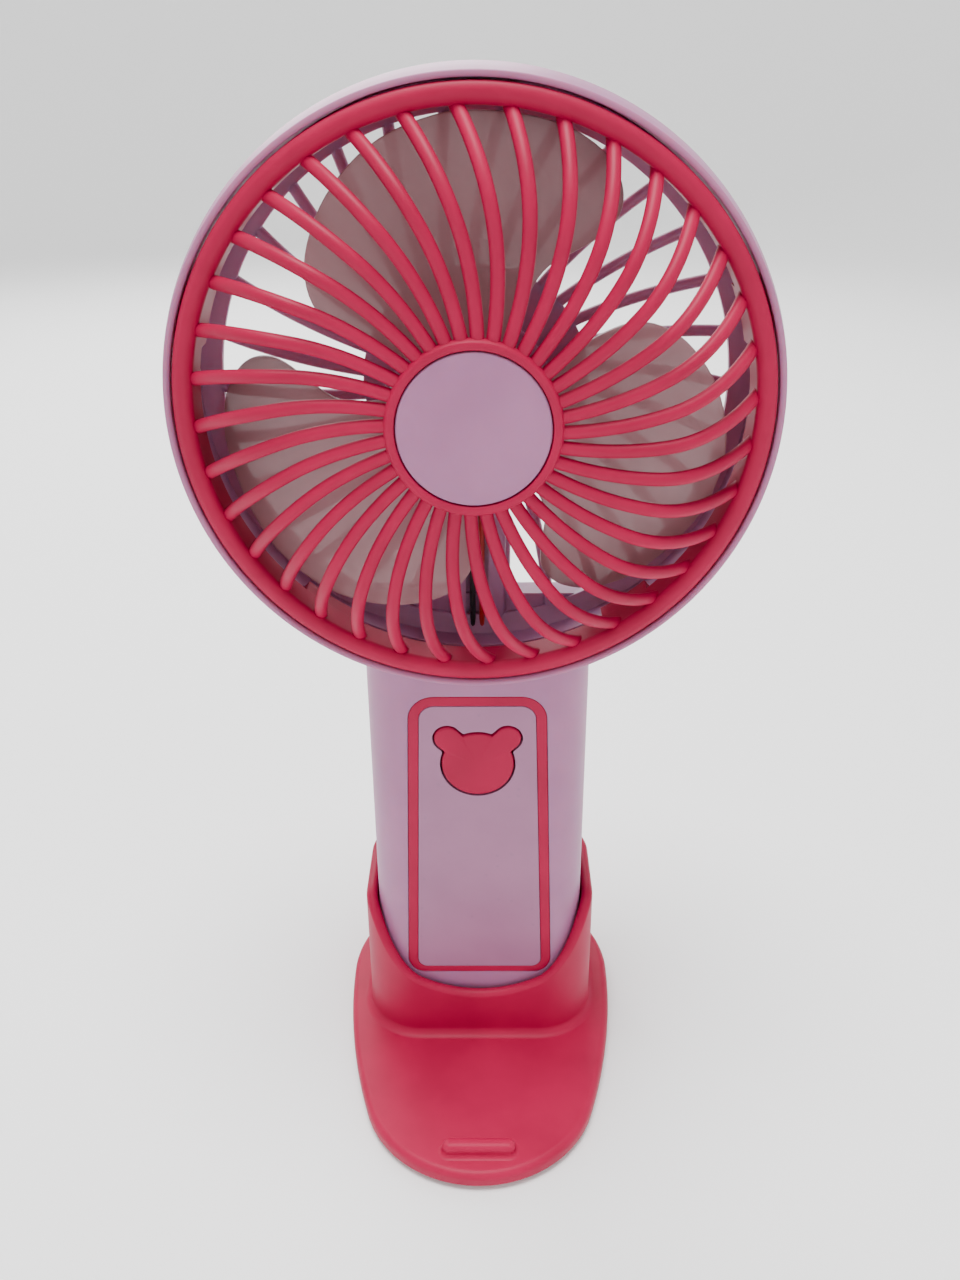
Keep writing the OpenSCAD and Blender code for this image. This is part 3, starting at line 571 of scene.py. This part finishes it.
def makeImpeller(m):
    rows, columns = 40, 36
    first, last = m["edges"][0][0], m["edges"][-1][0]
    bm = bmesh.new()
    sides = []
    for half in (-1, 1):
        grid = []
        for i in range(rows + 1):
            r = first + (last - first) * math.sin(math.pi / 2 * i / rows)
            lead, trail = smoothTable(m["edges"], r, 1), smoothTable(m["edges"], r, 2)
            line = []
            for j in range(columns + 1):
                u = j / columns
                a = math.radians(lead + (trail - lead) * (0.5 - 0.5 * math.cos(math.pi * u)))
                across = -r * math.sin(a)
                depth = m["mid"] + across * math.tan(math.radians(m["pitch"])) + m["camber"] * (
                    across ** 2 / 12 - 6) * (r / last)
                rim = min(1, 6 * u, 6 * (1 - u), 9 * (1 - i / rows))
                thick = m["thickness"] / 2 * (0.35 + 0.65 * math.sqrt(max(0, 1 - (1 - rim) ** 2)))
                line.append(bm.verts.new(Vector((across, -r * math.cos(a), depth + half * thick)) * mm))
            grid.append(line)
        sides.append(grid)
    low, high = sides
    for grid in sides:
        for i in range(rows):
            for j in range(columns):
                bm.faces.new((grid[i][j], grid[i][j + 1], grid[i + 1][j + 1], grid[i + 1][j]))
    for i in range(rows):
        for j in (0, columns):
            bm.faces.new((low[i][j], low[i + 1][j], high[i + 1][j], high[i][j]))
    for j in range(columns):
        for i in (0, rows):
            bm.faces.new((low[i][j], low[i][j + 1], high[i][j + 1], high[i][j]))
    blade = newPiece("blade", bm)
    blades = grow(blade, trees["repeat"], {"Count": m["blades"], "Offset": m["offset"],
                                           "Material": made["smokyPlastic"]})
    hr, f, b = m["hubR"], m["hubFront"], m["hubBack"]
    hub = turned("impellerHub", soften([
        (1.01, f + 1, 0.1), (1.01, b - 0.2, 0.2), (3, b - 0.2, 0.2), (3, f + 2, 0.3), (hr - 1.4, f + 2, 0.4),
        (hr - 1.4, b, 0.3), (hr, b, 0.3), (hr, f + 0.4, 1.2), (hr - 1.2, f, 0.8), (0.3, f, 0),
        (0.3, f + 1, 0)]),
        sides=96)
    whole = join("impellerBlades", [blades, hub])
    return finishPiece(whole, "rotor", ["impeller"], made["smokyPlastic"], angle=50)


makeImpeller(impeller)
print("impeller made")


frontHead = {"lugs": 5, "lugAngle": 12, "lugFront": 6.2, "lugBack": 7.8, "lugInner": 48.1, "seam": 0.12}


# The handle's whole outer form, grown by the given amount; the foot is rounded
def handleBlock(name, grown=0, lowZ=None, topZ=110):
    w, d, r = handle["width"] + 2 * grown, handle["depth"] + 2 * grown, handle["corner"] + grown
    z0 = handle["lowZ"] if lowZ is None else lowZ
    foot = 1.2 if lowZ is None else 0
    rings = []
    for k in range(7 if foot else 1):
        a = math.pi / 2 * k / 6
        inset, z = foot * (1 - math.sin(a)), z0 + foot * (1 - math.cos(a))
        rings.append([(x, y, z) for x, y in roundedOutline(w - 2 * inset, d - 2 * inset, r - inset, 20)])
    rings.append([(x, y, topZ) for x, y in roundedOutline(w, d, r, 20)])
    return skin(name, rings)


def blockBetween(name, low, high):
    bm = bmesh.new()
    bmesh.ops.create_cube(bm, size=1)
    for v in bm.verts:
        v.co = Vector([(low[i] + (high[i] - low[i]) * (v.co[i] + 0.5)) * mm for i in range(3)])
    return newPiece(name, bm)


def seamRing(name):
    s = handle["splitY"]
    ring = blockBetween(name, (-40, s - 0.13, 0), (40, s + 0.13, 120))
    return cut(ring, handleBlock("seamInner", -0.35, lowZ=-5, topZ=130))


def headPlug(name, r, y0=-60, y1=60):
    plug = turnedSolid(name, [(0, y0 + 17), (r, y0 + 17), (r, y1 + 17), (0, y1 + 17)], sides=160)
    return plug


panel = {"frontY": -16, "backY": -15, "trimLine": 2, "topHalf": 13.1, "lowHalf": 15.2, "topZ": 87,
         "lowZ": 19.4, "topR": 5, "lowR": 3.4, "buttonZ": 72, "buttonR": 7, "earR": 2.6, "earOut": 0.83,
         "gap": 0.35, "skinY": -13.7}


def trimOutline(inset, p=panel):
    def half(z):
        share = (z - p["lowZ"]) / (p["topZ"] - p["lowZ"])
        return p["lowHalf"] - inset + (p["topHalf"] - p["lowHalf"]) * share
    rt, rl = p["topR"] - inset, p["lowR"] - inset * 0.7
    zt, zl = p["topZ"] - inset, p["lowZ"] + inset * 0.7
    xt, xl = half(zt - rt), half(zl + rl)
    return (arcPoints(xt - rt, zt - rt, rt, 0, 90, 14) + arcPoints(rt - xt, zt - rt, rt, 90, 180, 14)
            + arcPoints(rl - xl, zl + rl, rl, 180, 270, 12) + arcPoints(xl - rl, zl + rl, rl, 270, 360, 12))


# A round face with two round ears, its inner corners softened
def buttonOutline(grown=0, p=panel, count=240):
    reach = []
    for k in range(count):
        a = 2 * math.pi * k / count
        far = p["buttonR"] + grown
        for side in (-1, 1):
            ex, ez = side * p["earOut"] * p["buttonR"], p["earOut"] * p["buttonR"]
            er = p["earR"] + grown
            along = ex * math.cos(a) + ez * math.sin(a)
            off = ex * math.sin(a) - ez * math.cos(a)
            if along > 0 and abs(off) < er:
                far = max(far, along + math.sqrt(er * er - off * off))
        reach.append(far)
    for _ in range(2):
        reach = [(reach[k - 1] + 2 * reach[k] + reach[(k + 1) % count]) / 4 for k in range(count)]
    return [(f * math.cos(2 * math.pi * k / count), p["buttonZ"] + f * math.sin(2 * math.pi * k / count))
            for k, f in enumerate(reach)]


def makeFrontShell(f):
    h = head
    wall = turned("headWall", soften([
        (h["innerR"], -0.55, 0.25), (h["innerR"] + 0.45, -1.0, 0.3), (h["innerR"] + 1.0, -1.0, 0.6),
        (h["outerR"] - 0.55, 1.2, 2.2), (h["outerR"], 5.2, 3),
        (h["outerR"], h["wallDepth"] - f["seam"], 0.15),
        (h["innerR"], h["wallDepth"] - f["seam"], 0)]), sides=192)
    lug = turned("lug", [(f["lugInner"], f["lugFront"]), (h["innerR"] + 0.2, f["lugFront"]),
                         (h["innerR"] + 0.2, f["lugBack"]), (f["lugInner"], f["lugBack"])],
                 place=None, start=-90 - f["lugAngle"] / 2, span=f["lugAngle"], sides=240)
    stop = turned("lugStop", [(f["lugInner"], f["lugFront"]), (h["innerR"] + 0.2, f["lugFront"]),
                              (h["innerR"] + 0.2, 9.6), (f["lugInner"], 9.6)],
                  place=None, start=-90 + f["lugAngle"] / 2 + 0.6, span=2, sides=540)
    lugs = grow(join("lugs", [lug, stop]), trees["repeat"], {
        "Count": f["lugs"], "Offset": 0.0, "Material": made["lavenderPlastic"]})
    front = handleBlock("frontHandle")
    cut(front, blockBetween("frontKeep", (-50, -50, 0), (50, handle["splitY"], 130)), "INTERSECT")
    inside = blockBetween("frontInside", (-50, panel["skinY"], 6.2), (50, 50, 89))
    cut(inside, handleBlock("frontInner", -handle["wall"], lowZ=0), "INTERSECT")
    cut(front, inside)
    cut(front, headPlug("headGap", h["innerR"] + 0.9))
    cut(front, seamRing("seam"))
    cut(front, frontSlab("trimSeat", lambda inset: trimOutline(-0.1), -20, panel["backY"], 0.1, 1))
    cut(front, frontSlab("buttonSeat", lambda inset: buttonOutline(panel["gap"]), -20, -11, 0.1, 1))
    usb = blockBetween("usbSeat", (-4.97, -10.76, 3), (4.97, -6.5, 8))
    cut(front, usb)
    cut(front, blockBetween("leadGap", (-4.5, -7, 86), (4.5, 1, 98)))
    whole = join("frontShell", [wall, lugs, front])
    return finishPiece(whole, "fan", ["front_shell"], made["lavenderPlastic"])


makeFrontShell(frontHead)
print("front shell made")

rearHead = {"ribCount": 30, "ribWidth": 2.1, "ribDepth": 2.4, "swirl": 7, "windowOut": 45.2, "windowIn": 20.5,
            "domeEdge": 18.2, "domeBack": 22.5, "domeThick": 2, "spine": 11, "cupR": 12.35,
            "cupInner": 10.15, "cupBack": 28.2, "cupInside": 26.4, "screwX": 13.5}


def domeFront(r, d):
    flat = d["domeBack"] - d["domeThick"]
    edge = d["domeEdge"] - d["domeThick"]
    share = max(0, (r - d["windowIn"]) / (head["outerR"] - 5 - d["windowIn"]))
    return flat - (flat - edge) * share ** 1.15


def makeRearShell(d):
    h = head
    rim = turned("rearRim", soften([
        (h["innerR"], h["wallDepth"] + 0.02, 0), (h["outerR"], h["wallDepth"] + 0.02, 0.15),
        (h["outerR"] - 0.2, h["wallDepth"] + 2.2, 1.2), (h["outerR"] - 2.0, h["wallDepth"] + 4.5, 1.6),
        (h["outerR"] - 4.6, d["domeEdge"], 0.8), (d["windowOut"] + 0.3, d["domeEdge"] + 0.45, 0.4),
        (d["windowOut"], d["domeEdge"] + 0.1, 0.3), (d["windowOut"], d["domeEdge"] - 1.4, 0.3),
        (h["outerR"] - 5.2, d["domeEdge"] - 2, 0.5), (h["innerR"] - 1.0, h["wallDepth"] + 2.0, 0.5)]),
        sides=192)
    lip = turned("rearLip", soften([
        (h["innerR"] - 1.6, h["wallDepth"] - 2.4, 0.2), (h["innerR"] - 0.15, h["wallDepth"] - 2.4, 0.3),
        (h["innerR"] - 0.15, h["wallDepth"] + 2.4, 0), (h["innerR"] - 1.6, h["wallDepth"] + 2.4, 0)]),
        sides=192)
    plate = turned("rearHub", soften([
        (d["cupInner"], d["domeBack"] - 2, 0), (d["windowIn"] - 1, d["domeBack"] - 2, 0.6),
        (d["windowIn"], d["domeBack"] - 1.9, 0.3), (d["windowIn"], d["domeBack"] - 0.2, 0.4),
        (d["windowIn"] - 1.2, d["domeBack"], 0.8), (d["cupR"] + 1.2, d["domeBack"], 0.8),
        (d["cupR"], d["domeBack"] + 1.0, 0.8), (d["cupR"], d["cupBack"] - 0.1, 1.2),
        (d["cupR"] - 1.6, d["cupBack"], 1.0), (0.3, d["cupBack"], 0), (0.3, d["cupInside"], 0),
        (d["cupInner"], d["cupInside"], 0.3)]), sides=128)
    middle = turnedSolid("rearHubMiddle", [(0, d["cupInside"]), (0.4, d["cupInside"]), (0.4, d["cupBack"]),
                                           (0, d["cupBack"])], sides=24)
    cup = turned("motorCup", [(d["cupInner"], 13), (d["cupR"], 13), (d["cupR"], 21), (d["cupInner"], 21)],
                 sides=128)
    path = []
    for k in range(17):
        r = d["windowIn"] - 1 + (d["windowOut"] + 1.6 - d["windowIn"]) * k / 16
        a = math.radians(90 + d["swirl"] * (r - d["windowOut"]) / (d["windowOut"] - d["windowIn"]))
        path.append((r * math.cos(a), r * math.sin(a), domeFront(r, d) + d["ribDepth"] / 2 + 0.1))
    ribs = grow(pathPiece("rearRibs", path), trees["ribs"], {
        "Count": d["ribCount"], "Offset": 0.5, "Width": d["ribWidth"] * mm, "Depth": d["ribDepth"] * mm,
        "End Share": 1.0, "Material": made["lavenderPlastic"]})
    strut = blockBetween("strut", (-d["spine"] / 2, head["frontY"] + 16.6, head["axisHeight"] - 50.3),
                         (d["spine"] / 2, head["frontY"] + 20.4, head["axisHeight"] - 9.9))
    soft = strut.modifiers.new("soft", "BEVEL")
    soft.width, soft.segments = 0.7 * mm, 3
    applied(strut)
    groove = blockBetween("strutGroove", (-2.2, head["frontY"] + 15, 92), (2.2, head["frontY"] + 18.2, 133))
    cut(strut, groove)
    bosses = []
    for side in (-1, 1):
        post = turned("coverPost", [(1.05, 13), (2.4, 13), (2.4, 21), (1.05, 21)], sides=32, place=headPlace
                      @ Matrix.Translation((side * d["screwX"] * mm, 0, 0)))
        bosses.append(post)
    rear = handleBlock("rearHandle")
    cut(rear, blockBetween("rearKeep", (-50, handle["splitY"], 0), (50, 50, 130)), "INTERSECT")
    top, r = handle["neckTop"], handle["neckRound"]
    side = ([(-60, -10), (17, -10), (17, top - r)] + arcPoints(handle["depth"] / 2 - r, top - r, r, 0, 90, 24)
            + [(-60, top)])
    cut(rear, skin("neckForm", [[(x, y, z) for y, z in side] for x in (-40, 40)]), "INTERSECT")
    inside = blockBetween("rearInside", (-50, -50, 6.2), (50, 50, 89))
    cut(inside, handleBlock("rearInner", -handle["wall"], lowZ=0), "INTERSECT")
    cut(rear, inside)
    cut(rear, headPlug("headGap", h["outerR"] - 0.5, -60, 0.45))
    cut(rear, seamRing("seam"))
    cut(rear, blockBetween("leadGap", (-4.5, -7, 86), (4.5, 1, 98)))
    for x in (-16.2, 16.2):
        for z in (22.2, 80):
            spot = Matrix.Translation((x * mm, 0, z * mm)) @ Matrix.Rotation(-math.pi / 2, 4, "X")
            well = turnedSolid("screwWell", [(0, 7.4), (2.3, 7.4), (2.3, 30), (0, 30)], place=spot, sides=40)
            cut(rear, well)
            post = turned("screwPost", [(1.25, -4), (3.2, -4), (3.2, 14.5), (2.32, 14.5), (2.32, 9.02),
                                        (2.3, 7.4), (1.25, 7.4)], place=spot, sides=40)
            bosses.append(post)
    whole = join("rearShell", [rim, lip, plate, middle, cup, ribs, strut, rear] + bosses)
    return finishPiece(whole, "fan", ["rear_shell"], made["lavenderPlastic"])


makeRearShell(rearHead)
print("rear shell made")


def makeTrim(p):
    y0, y1, soft, w = p["frontY"], p["backY"], 0.18, p["trimLine"]
    rings = [(0, y1), (0, y0 + soft), (soft * 0.3, y0 + soft * 0.3), (soft, y0), (w - soft, y0),
             (w - soft * 0.3, y0 + soft * 0.3), (w, y0 + soft), (w, y1)]
    band = skin("panelTrim", [[(x, min(y + cornerBack(x), y1), z) if y < y1 else (x, y, z)
                               for x, z in trimOutline(inset)] for inset, y in rings], loop=True)
    return finishPiece(band, "fan", ["panel_trim"], made["crimsonPlastic"], angle=60)


def makePanel(p):
    plate = frontSlab("panelPlate", lambda inset: trimOutline(p["trimLine"] + 0.06 + inset), p["frontY"],
                      p["backY"], 0.16, 4)
    cut(plate, frontSlab("buttonSeat", lambda inset: buttonOutline(p["gap"]), -20, -11, 0.1, 1))
    for v in plate.data.vertices:
        if v.co.y < (p["backY"] - 0.1) * mm:
            v.co.y += cornerBack(v.co.x / mm) * mm
    return finishPiece(plate, "fan", ["panel_plate"], made["panelPlastic"])


def makeButton(p):
    rings = []
    flange = buttonOutline(0.9)
    for y in (-12.4, -13.4):
        rings.append([(x, y, z) for x, z in flange])
    face = buttonOutline()
    rings.append([(x, -13.4, z) for x, z in face])
    for k in range(7):
        a = math.pi / 2 * k / 6
        shrink, y = 0.5 * (1 - math.cos(a)), -16.15 + 0.5 * (1 - math.sin(a))
        rings.append([(x * (1 - shrink / 8), y, p["buttonZ"] + (z - p["buttonZ"]) * (1 - shrink / 8))
                      for x, z in face])
    last = rings[-1]
    for k in range(1, 7):
        t = 1 - k / 6.5
        rings.append([(x * t, y - 0.24 * (1 - t * t), p["buttonZ"] + (z - p["buttonZ"]) * t)
                      for x, y, z in last])
    button = skin("powerButton", rings)
    middle = Matrix.Translation((0, 0, p["buttonZ"] * mm)) @ Matrix.Rotation(-math.pi / 2, 4, "X")
    stem = turnedSolid("buttonStem", [(0, -12.5), (1.8, -12.5), (1.8, -11.4), (0, -11.4)], sides=40,
                       place=middle)
    return finishPiece(join("powerButton", [button, stem]), "button", ["power_button"],
                       made["crimsonPlastic"], angle=40)


makeTrim(panel)
makePanel(panel)
makeButton(panel)
print("panel and button made")


stand = {"halfWidth": 29.4, "front": 55, "noseR": 24, "midY": 3, "padTop": 1, "top": 4.2, "topRound": 1.5,
         "lowRound": 0.6, "socketW": 48.7, "socketD": 37.5, "socketR": 11.75, "wall": 2.4, "sideTop": 35.2,
         "notchLow": 15.6, "notchR": 30, "notchTilt": 35, "blend": 5, "fillet": 1.9,
         "ridgeY": -49.3, "ridgeHalf": 7.2, "ridgeHalfW": 1.5, "ridgeH": 2.6, "ridgeFillet": 0.9,
         "padInset": 3}


def plateOutline(inset, s=stand):
    hw, r1 = s["halfWidth"] - inset, s["noseR"] - inset
    y1 = -s["front"] + s["noseR"]
    d = s["midY"] - y1
    sideR = (hw * hw - r1 * r1 + d * d) / (2 * (hw - r1))
    turn = math.degrees(math.asin(d / (sideR - r1)))
    return (arcPoints(0, s["midY"], hw, 0, 180, 64)[:-1]
            + arcPoints(sideR - hw, s["midY"], sideR, 180, 180 + turn, 20)[:-1]
            + arcPoints(0, y1, r1, 180 + turn, 360 - turn, 56)[:-1]
            + arcPoints(hw - sideR, s["midY"], sideR, -turn, 0, 20)[:-1])


def socketHeight(x, y, s=stand):
    tilt = math.radians(s["notchTilt"])
    drop = s["notchR"] - math.sqrt(max(0, s["notchR"] ** 2 - x * x))
    cutZ = s["notchLow"] + (drop + (y + s["socketD"] / 2) * math.sin(tilt)) / math.cos(tilt)
    mix = max(0, min(1, 0.5 + 0.5 * (cutZ - s["sideTop"]) / s["blend"]))
    return cutZ + (s["sideTop"] - cutZ) * mix - s["blend"] * mix * (1 - mix)


def makeStand(s):
    plateRings = []
    for k in range(4):
        a = math.pi / 2 * k / 3
        inset = s["lowRound"] * (1 - math.sin(a))
        plateRings.append((inset, s["padTop"] + s["lowRound"] * (1 - math.cos(a))))
    for k in range(8):
        a = math.pi / 2 * k / 7
        plateRings.append((s["topRound"] * (1 - math.cos(a)), s["top"] - s["topRound"] * (1 - math.sin(a))))
    plate = skin("standPlate", [[(x, y, z) for x, y in plateOutline(inset)] for inset, z in plateRings])
    outer = roundedOutline(s["socketW"], s["socketD"], s["socketR"], 24, 14)
    bm = bmesh.new()
    columns = []
    for i, (x, y) in enumerate(outer):
        cx = max(-s["socketW"] / 2 + s["socketR"], min(s["socketW"] / 2 - s["socketR"], x))
        cy = max(-s["socketD"] / 2 + s["socketR"], min(s["socketD"] / 2 - s["socketR"], y))
        out = Vector((x - cx, y - cy)).normalized()
        h, t, f = socketHeight(x, y), s["wall"], s["fillet"]
        section = [(f, s["top"] - 0.8), (f, s["top"] - 0.02)]
        section += [(f + f * math.cos(math.radians(a)), s["top"] - 0.02 + f + f * math.sin(math.radians(a)))
                    for a in range(261, 179, -9)]
        low, high = s["top"] + f, h - t / 2
        section += [(0, low + (high - low) * k / 8) for k in range(1, 8)]
        section += [(-t / 2 + t / 2 * math.cos(math.radians(a)), high + t / 2 * math.sin(math.radians(a)))
                    for a in range(0, 181, 15)]
        section += [(-t, high + (s["top"] - 0.8 - high) * k / 6) for k in range(1, 7)]
        columns.append([bm.verts.new(Vector((x + out.x * q, y + out.y * q, z)) * mm) for q, z in section])
    for a, b in zip(columns, columns[1:] + columns[:1]):
        for k in range(len(a)):
            j = (k + 1) % len(a)
            bm.faces.new((a[k], b[k], b[j], a[j]))
    socket = newPiece("standSocket", bm)
    w, d, e = s["ridgeHalf"] * 2, s["ridgeHalfW"] * 2, s["ridgeFillet"]
    spread = [(e, -0.6), (e, -0.02)] + [(e + e * math.cos(math.radians(a)), e + e * math.sin(math.radians(a)))
                                        for a in range(255, 179, -15)]
    spread += [(1.3 * (math.cos(math.radians(a)) - 1), s["ridgeH"] - 1.3 + 1.3 * math.sin(math.radians(a)))
               for a in range(0, 91, 15)]
    ridge = skin("standRidge", [[(x, y + s["ridgeY"], s["top"] + z) for x, y in
                                 roundedOutline(w + 2 * q, d + 2 * q, max(0.15, 1.45 + q), 8)]
                                for q, z in spread])
    whole = join("phoneStand", [plate, socket, ridge])
    return finishPiece(whole, "stand", ["stand"], made["crimsonPlastic"], angle=45)


makeStand(stand)

pad = {"pitch": 2.6, "pipR": 0.8, "pipH": 0.3}


def makePad(p):
    rings = [(0.35, p["pipH"]), (0.1, p["pipH"] + 0.1), (0, p["pipH"] + 0.35), (0, stand["padTop"])]
    body = skin("padBody", [[(x, y, z) for x, y in plateOutline(stand["padInset"] + inset)]
                            for inset, z in rings])
    edge = [Vector(q) for q in plateOutline(stand["padInset"] + 1.6)]
    spots = []
    for i in range(-40, 41):
        for j in range(-40, 41):
            x, y = p["pitch"] * (i + 0.5 * (j % 2)), p["pitch"] * 0.866 * j - 11
            inside = False
            for a, b in zip(edge, edge[1:] + edge[:1]):
                if (a.y > y) != (b.y > y) and x < (b.x - a.x) * (y - a.y) / (b.y - a.y) + a.x:
                    inside = not inside
            if inside:
                spots.append((x, y, 0))
    pip = turnedSolid("pip", [(0, 0), (p["pipR"] * 0.7, 0), (p["pipR"] * 0.95, 0.08),
                              (p["pipR"], p["pipH"] + 0.05), (0, p["pipH"] + 0.05)],
                      place=Matrix.Identity(4), sides=10)
    pips = grow(pathPiece("pips", spots, linked=False), trees["scatter"],
                {"Item": pip, "Material": made["padRubber"]})
    bpy.data.objects.remove(pip)
    whole = join("gripPad", [body, pips])
    return finishPiece(whole, "stand", ["stand_grip_pad"], made["padRubber"])


makePad(pad)
print("stand and pad made")


screws = {"x": 16.2, "lowZ": 22.2, "highZ": 80, "seatY": 9.0, "headR": 1.9, "headH": 1.6, "shankR": 0.95,
          "tipY": -10.5, "slotW": 0.5, "slotDepth": 0.75}


def makeScrews(s):
    upright = Matrix.Rotation(-math.pi / 2, 4, "X")
    thread = []
    y = s["tipY"]
    while y < s["seatY"] - s["headH"] - 0.8:
        thread += [(s["shankR"] - 0.16, y), (s["shankR"], y + 0.3), (s["shankR"] - 0.16, y + 0.6)]
        y += 0.7
    headForm = [(s["shankR"], s["seatY"] - s["headH"] - 0.1), (s["shankR"], s["seatY"] - s["headH"]),
             (s["headR"], s["seatY"] - s["headH"]), (s["headR"], s["seatY"] - 0.55),
             (s["headR"] * 0.93, s["seatY"] - 0.25), (s["headR"] * 0.7, s["seatY"] - 0.05),
             (s["headR"] * 0.35, s["seatY"]), (0, s["seatY"])]
    screw = turnedSolid("screw", [(0, s["tipY"] - 0.02)] + thread + headForm, place=upright, sides=32)
    for turn in (0, math.pi / 2):
        slot = blockBetween("slot", (-1.1, s["seatY"] - s["slotDepth"], -s["slotW"] / 2),
                            (1.1, 20, s["slotW"] / 2))
        slot.data.transform(Matrix.Rotation(turn, 4, "Y"))
        cut(screw, slot)
    spots = [(x, 0, z) for x in (-s["x"], s["x"]) for z in (s["lowZ"], s["highZ"])]
    four = grow(pathPiece("shellScrews", spots, linked=False), trees["scatter"],
                {"Item": screw, "Material": made["platedSteel"]})
    bpy.data.objects.remove(screw)
    return finishPiece(four, "fan", ["shell_screws"], made["platedSteel"])


makeScrews(screws)
print("screws made")


kept = {"switch_plunger": "blackPlastic", "board_parts": "blackPlastic", "usb_socket_tongue": "blackPlastic",
        "switch_body": "platedSteel", "usb_socket_shell": "platedSteel", "battery_tabs": "platedSteel",
        "motor_screws": "platedSteel", "motor_can": "platedSteel", "motor_shaft": "platedSteel",
        "circuit_board": "boardGreen", "charge_led": "ledLens", "battery_cell": "cellWrap",
        "battery_foam": "foamGrey", "motor_magnets": "ferrite", "armature_core": "ferrite",
        "motor_endcap": "whiteNylon", "motor_bushings": "sinteredBronze", "motor_brushes": "sinteredBronze",
        "commutator": "sinteredBronze", "armature_windings": "copperWire", "motor_lead_red": "redSleeve",
        "motor_lead_black": "blackSleeve", "motor_cover": "lavenderPlastic"}
for node, name in kept.items():
    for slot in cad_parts[node].material_slots:
        slot.material = made[name]
print("kept nodes finished:", len(kept))


room = {"floorR": 1.1, "bend": 0.5, "height": 2.6, "sides": 96, "paper": tone(246, 246, 246), "glow": 0.1,
        "world": 0.24}


# A round floor that sweeps up into a wall on every side, so each view sees the same pale paper
def makeRoom(r):
    profile = [(0, 0), (r["floorR"], 0)]
    profile += [(r["floorR"] + r["bend"] * math.sin(a), r["bend"] * (1 - math.cos(a)))
                for a in (math.pi / 2 * k / 16 for k in range(1, 17))]
    profile.append((r["floorR"] + r["bend"], r["height"]))
    floor = turnedSolid("floor", [(x / mm, z / mm) for x, z in profile], place=Matrix.Identity(4),
                        sides=r["sides"])
    for face in floor.data.polygons:
        face.use_smooth = True
    floor.data.materials.append(finish("floorPaper", {
        "deep": r["paper"], "light": r["paper"], "roughness": 0.9, "grain": 0.02,
        "shader": {"Emission Color": (1, 1, 1, 1), "Emission Strength": r["glow"]}}))
    world = bpy.data.worlds.new("studio")
    world.use_nodes = True
    world.node_tree.nodes["Background"].inputs["Color"].default_value = (1, 1, 1, 1)
    world.node_tree.nodes["Background"].inputs["Strength"].default_value = r["world"]
    bpy.context.scene.world = world


def addSoftbox(name, place, aim, size, power, colour=(1, 1, 1)):
    light = bpy.data.lights.new(name, "AREA")
    light.shape, light.size, light.energy, light.color = "DISK", size, power, colour
    obj = bpy.data.objects.new(name, light)
    obj.location = place
    obj.rotation_euler = (Vector(aim) - Vector(place)).to_track_quat("-Z", "Y").to_euler()
    bpy.context.scene.collection.objects.link(obj)


makeRoom(room)
softboxes = {
    "overheadLight": {"place": (-0.06, -0.1, 1.15), "aim": (0, 0, 0.1), "size": 0.6, "power": 20},
    "frontLight": {"place": (0.25, -0.9, 0.55), "aim": (0, 0, 0.1), "size": 0.6, "power": 0.2},
    "rearLight": {"place": (-0.2, 0.75, 0.6), "aim": (0, 0, 0.1), "size": 0.7, "power": 7},
}
for name, s in softboxes.items():
    addSoftbox(name, s["place"], s["aim"], s["size"], s["power"])
print("floor and lights made")
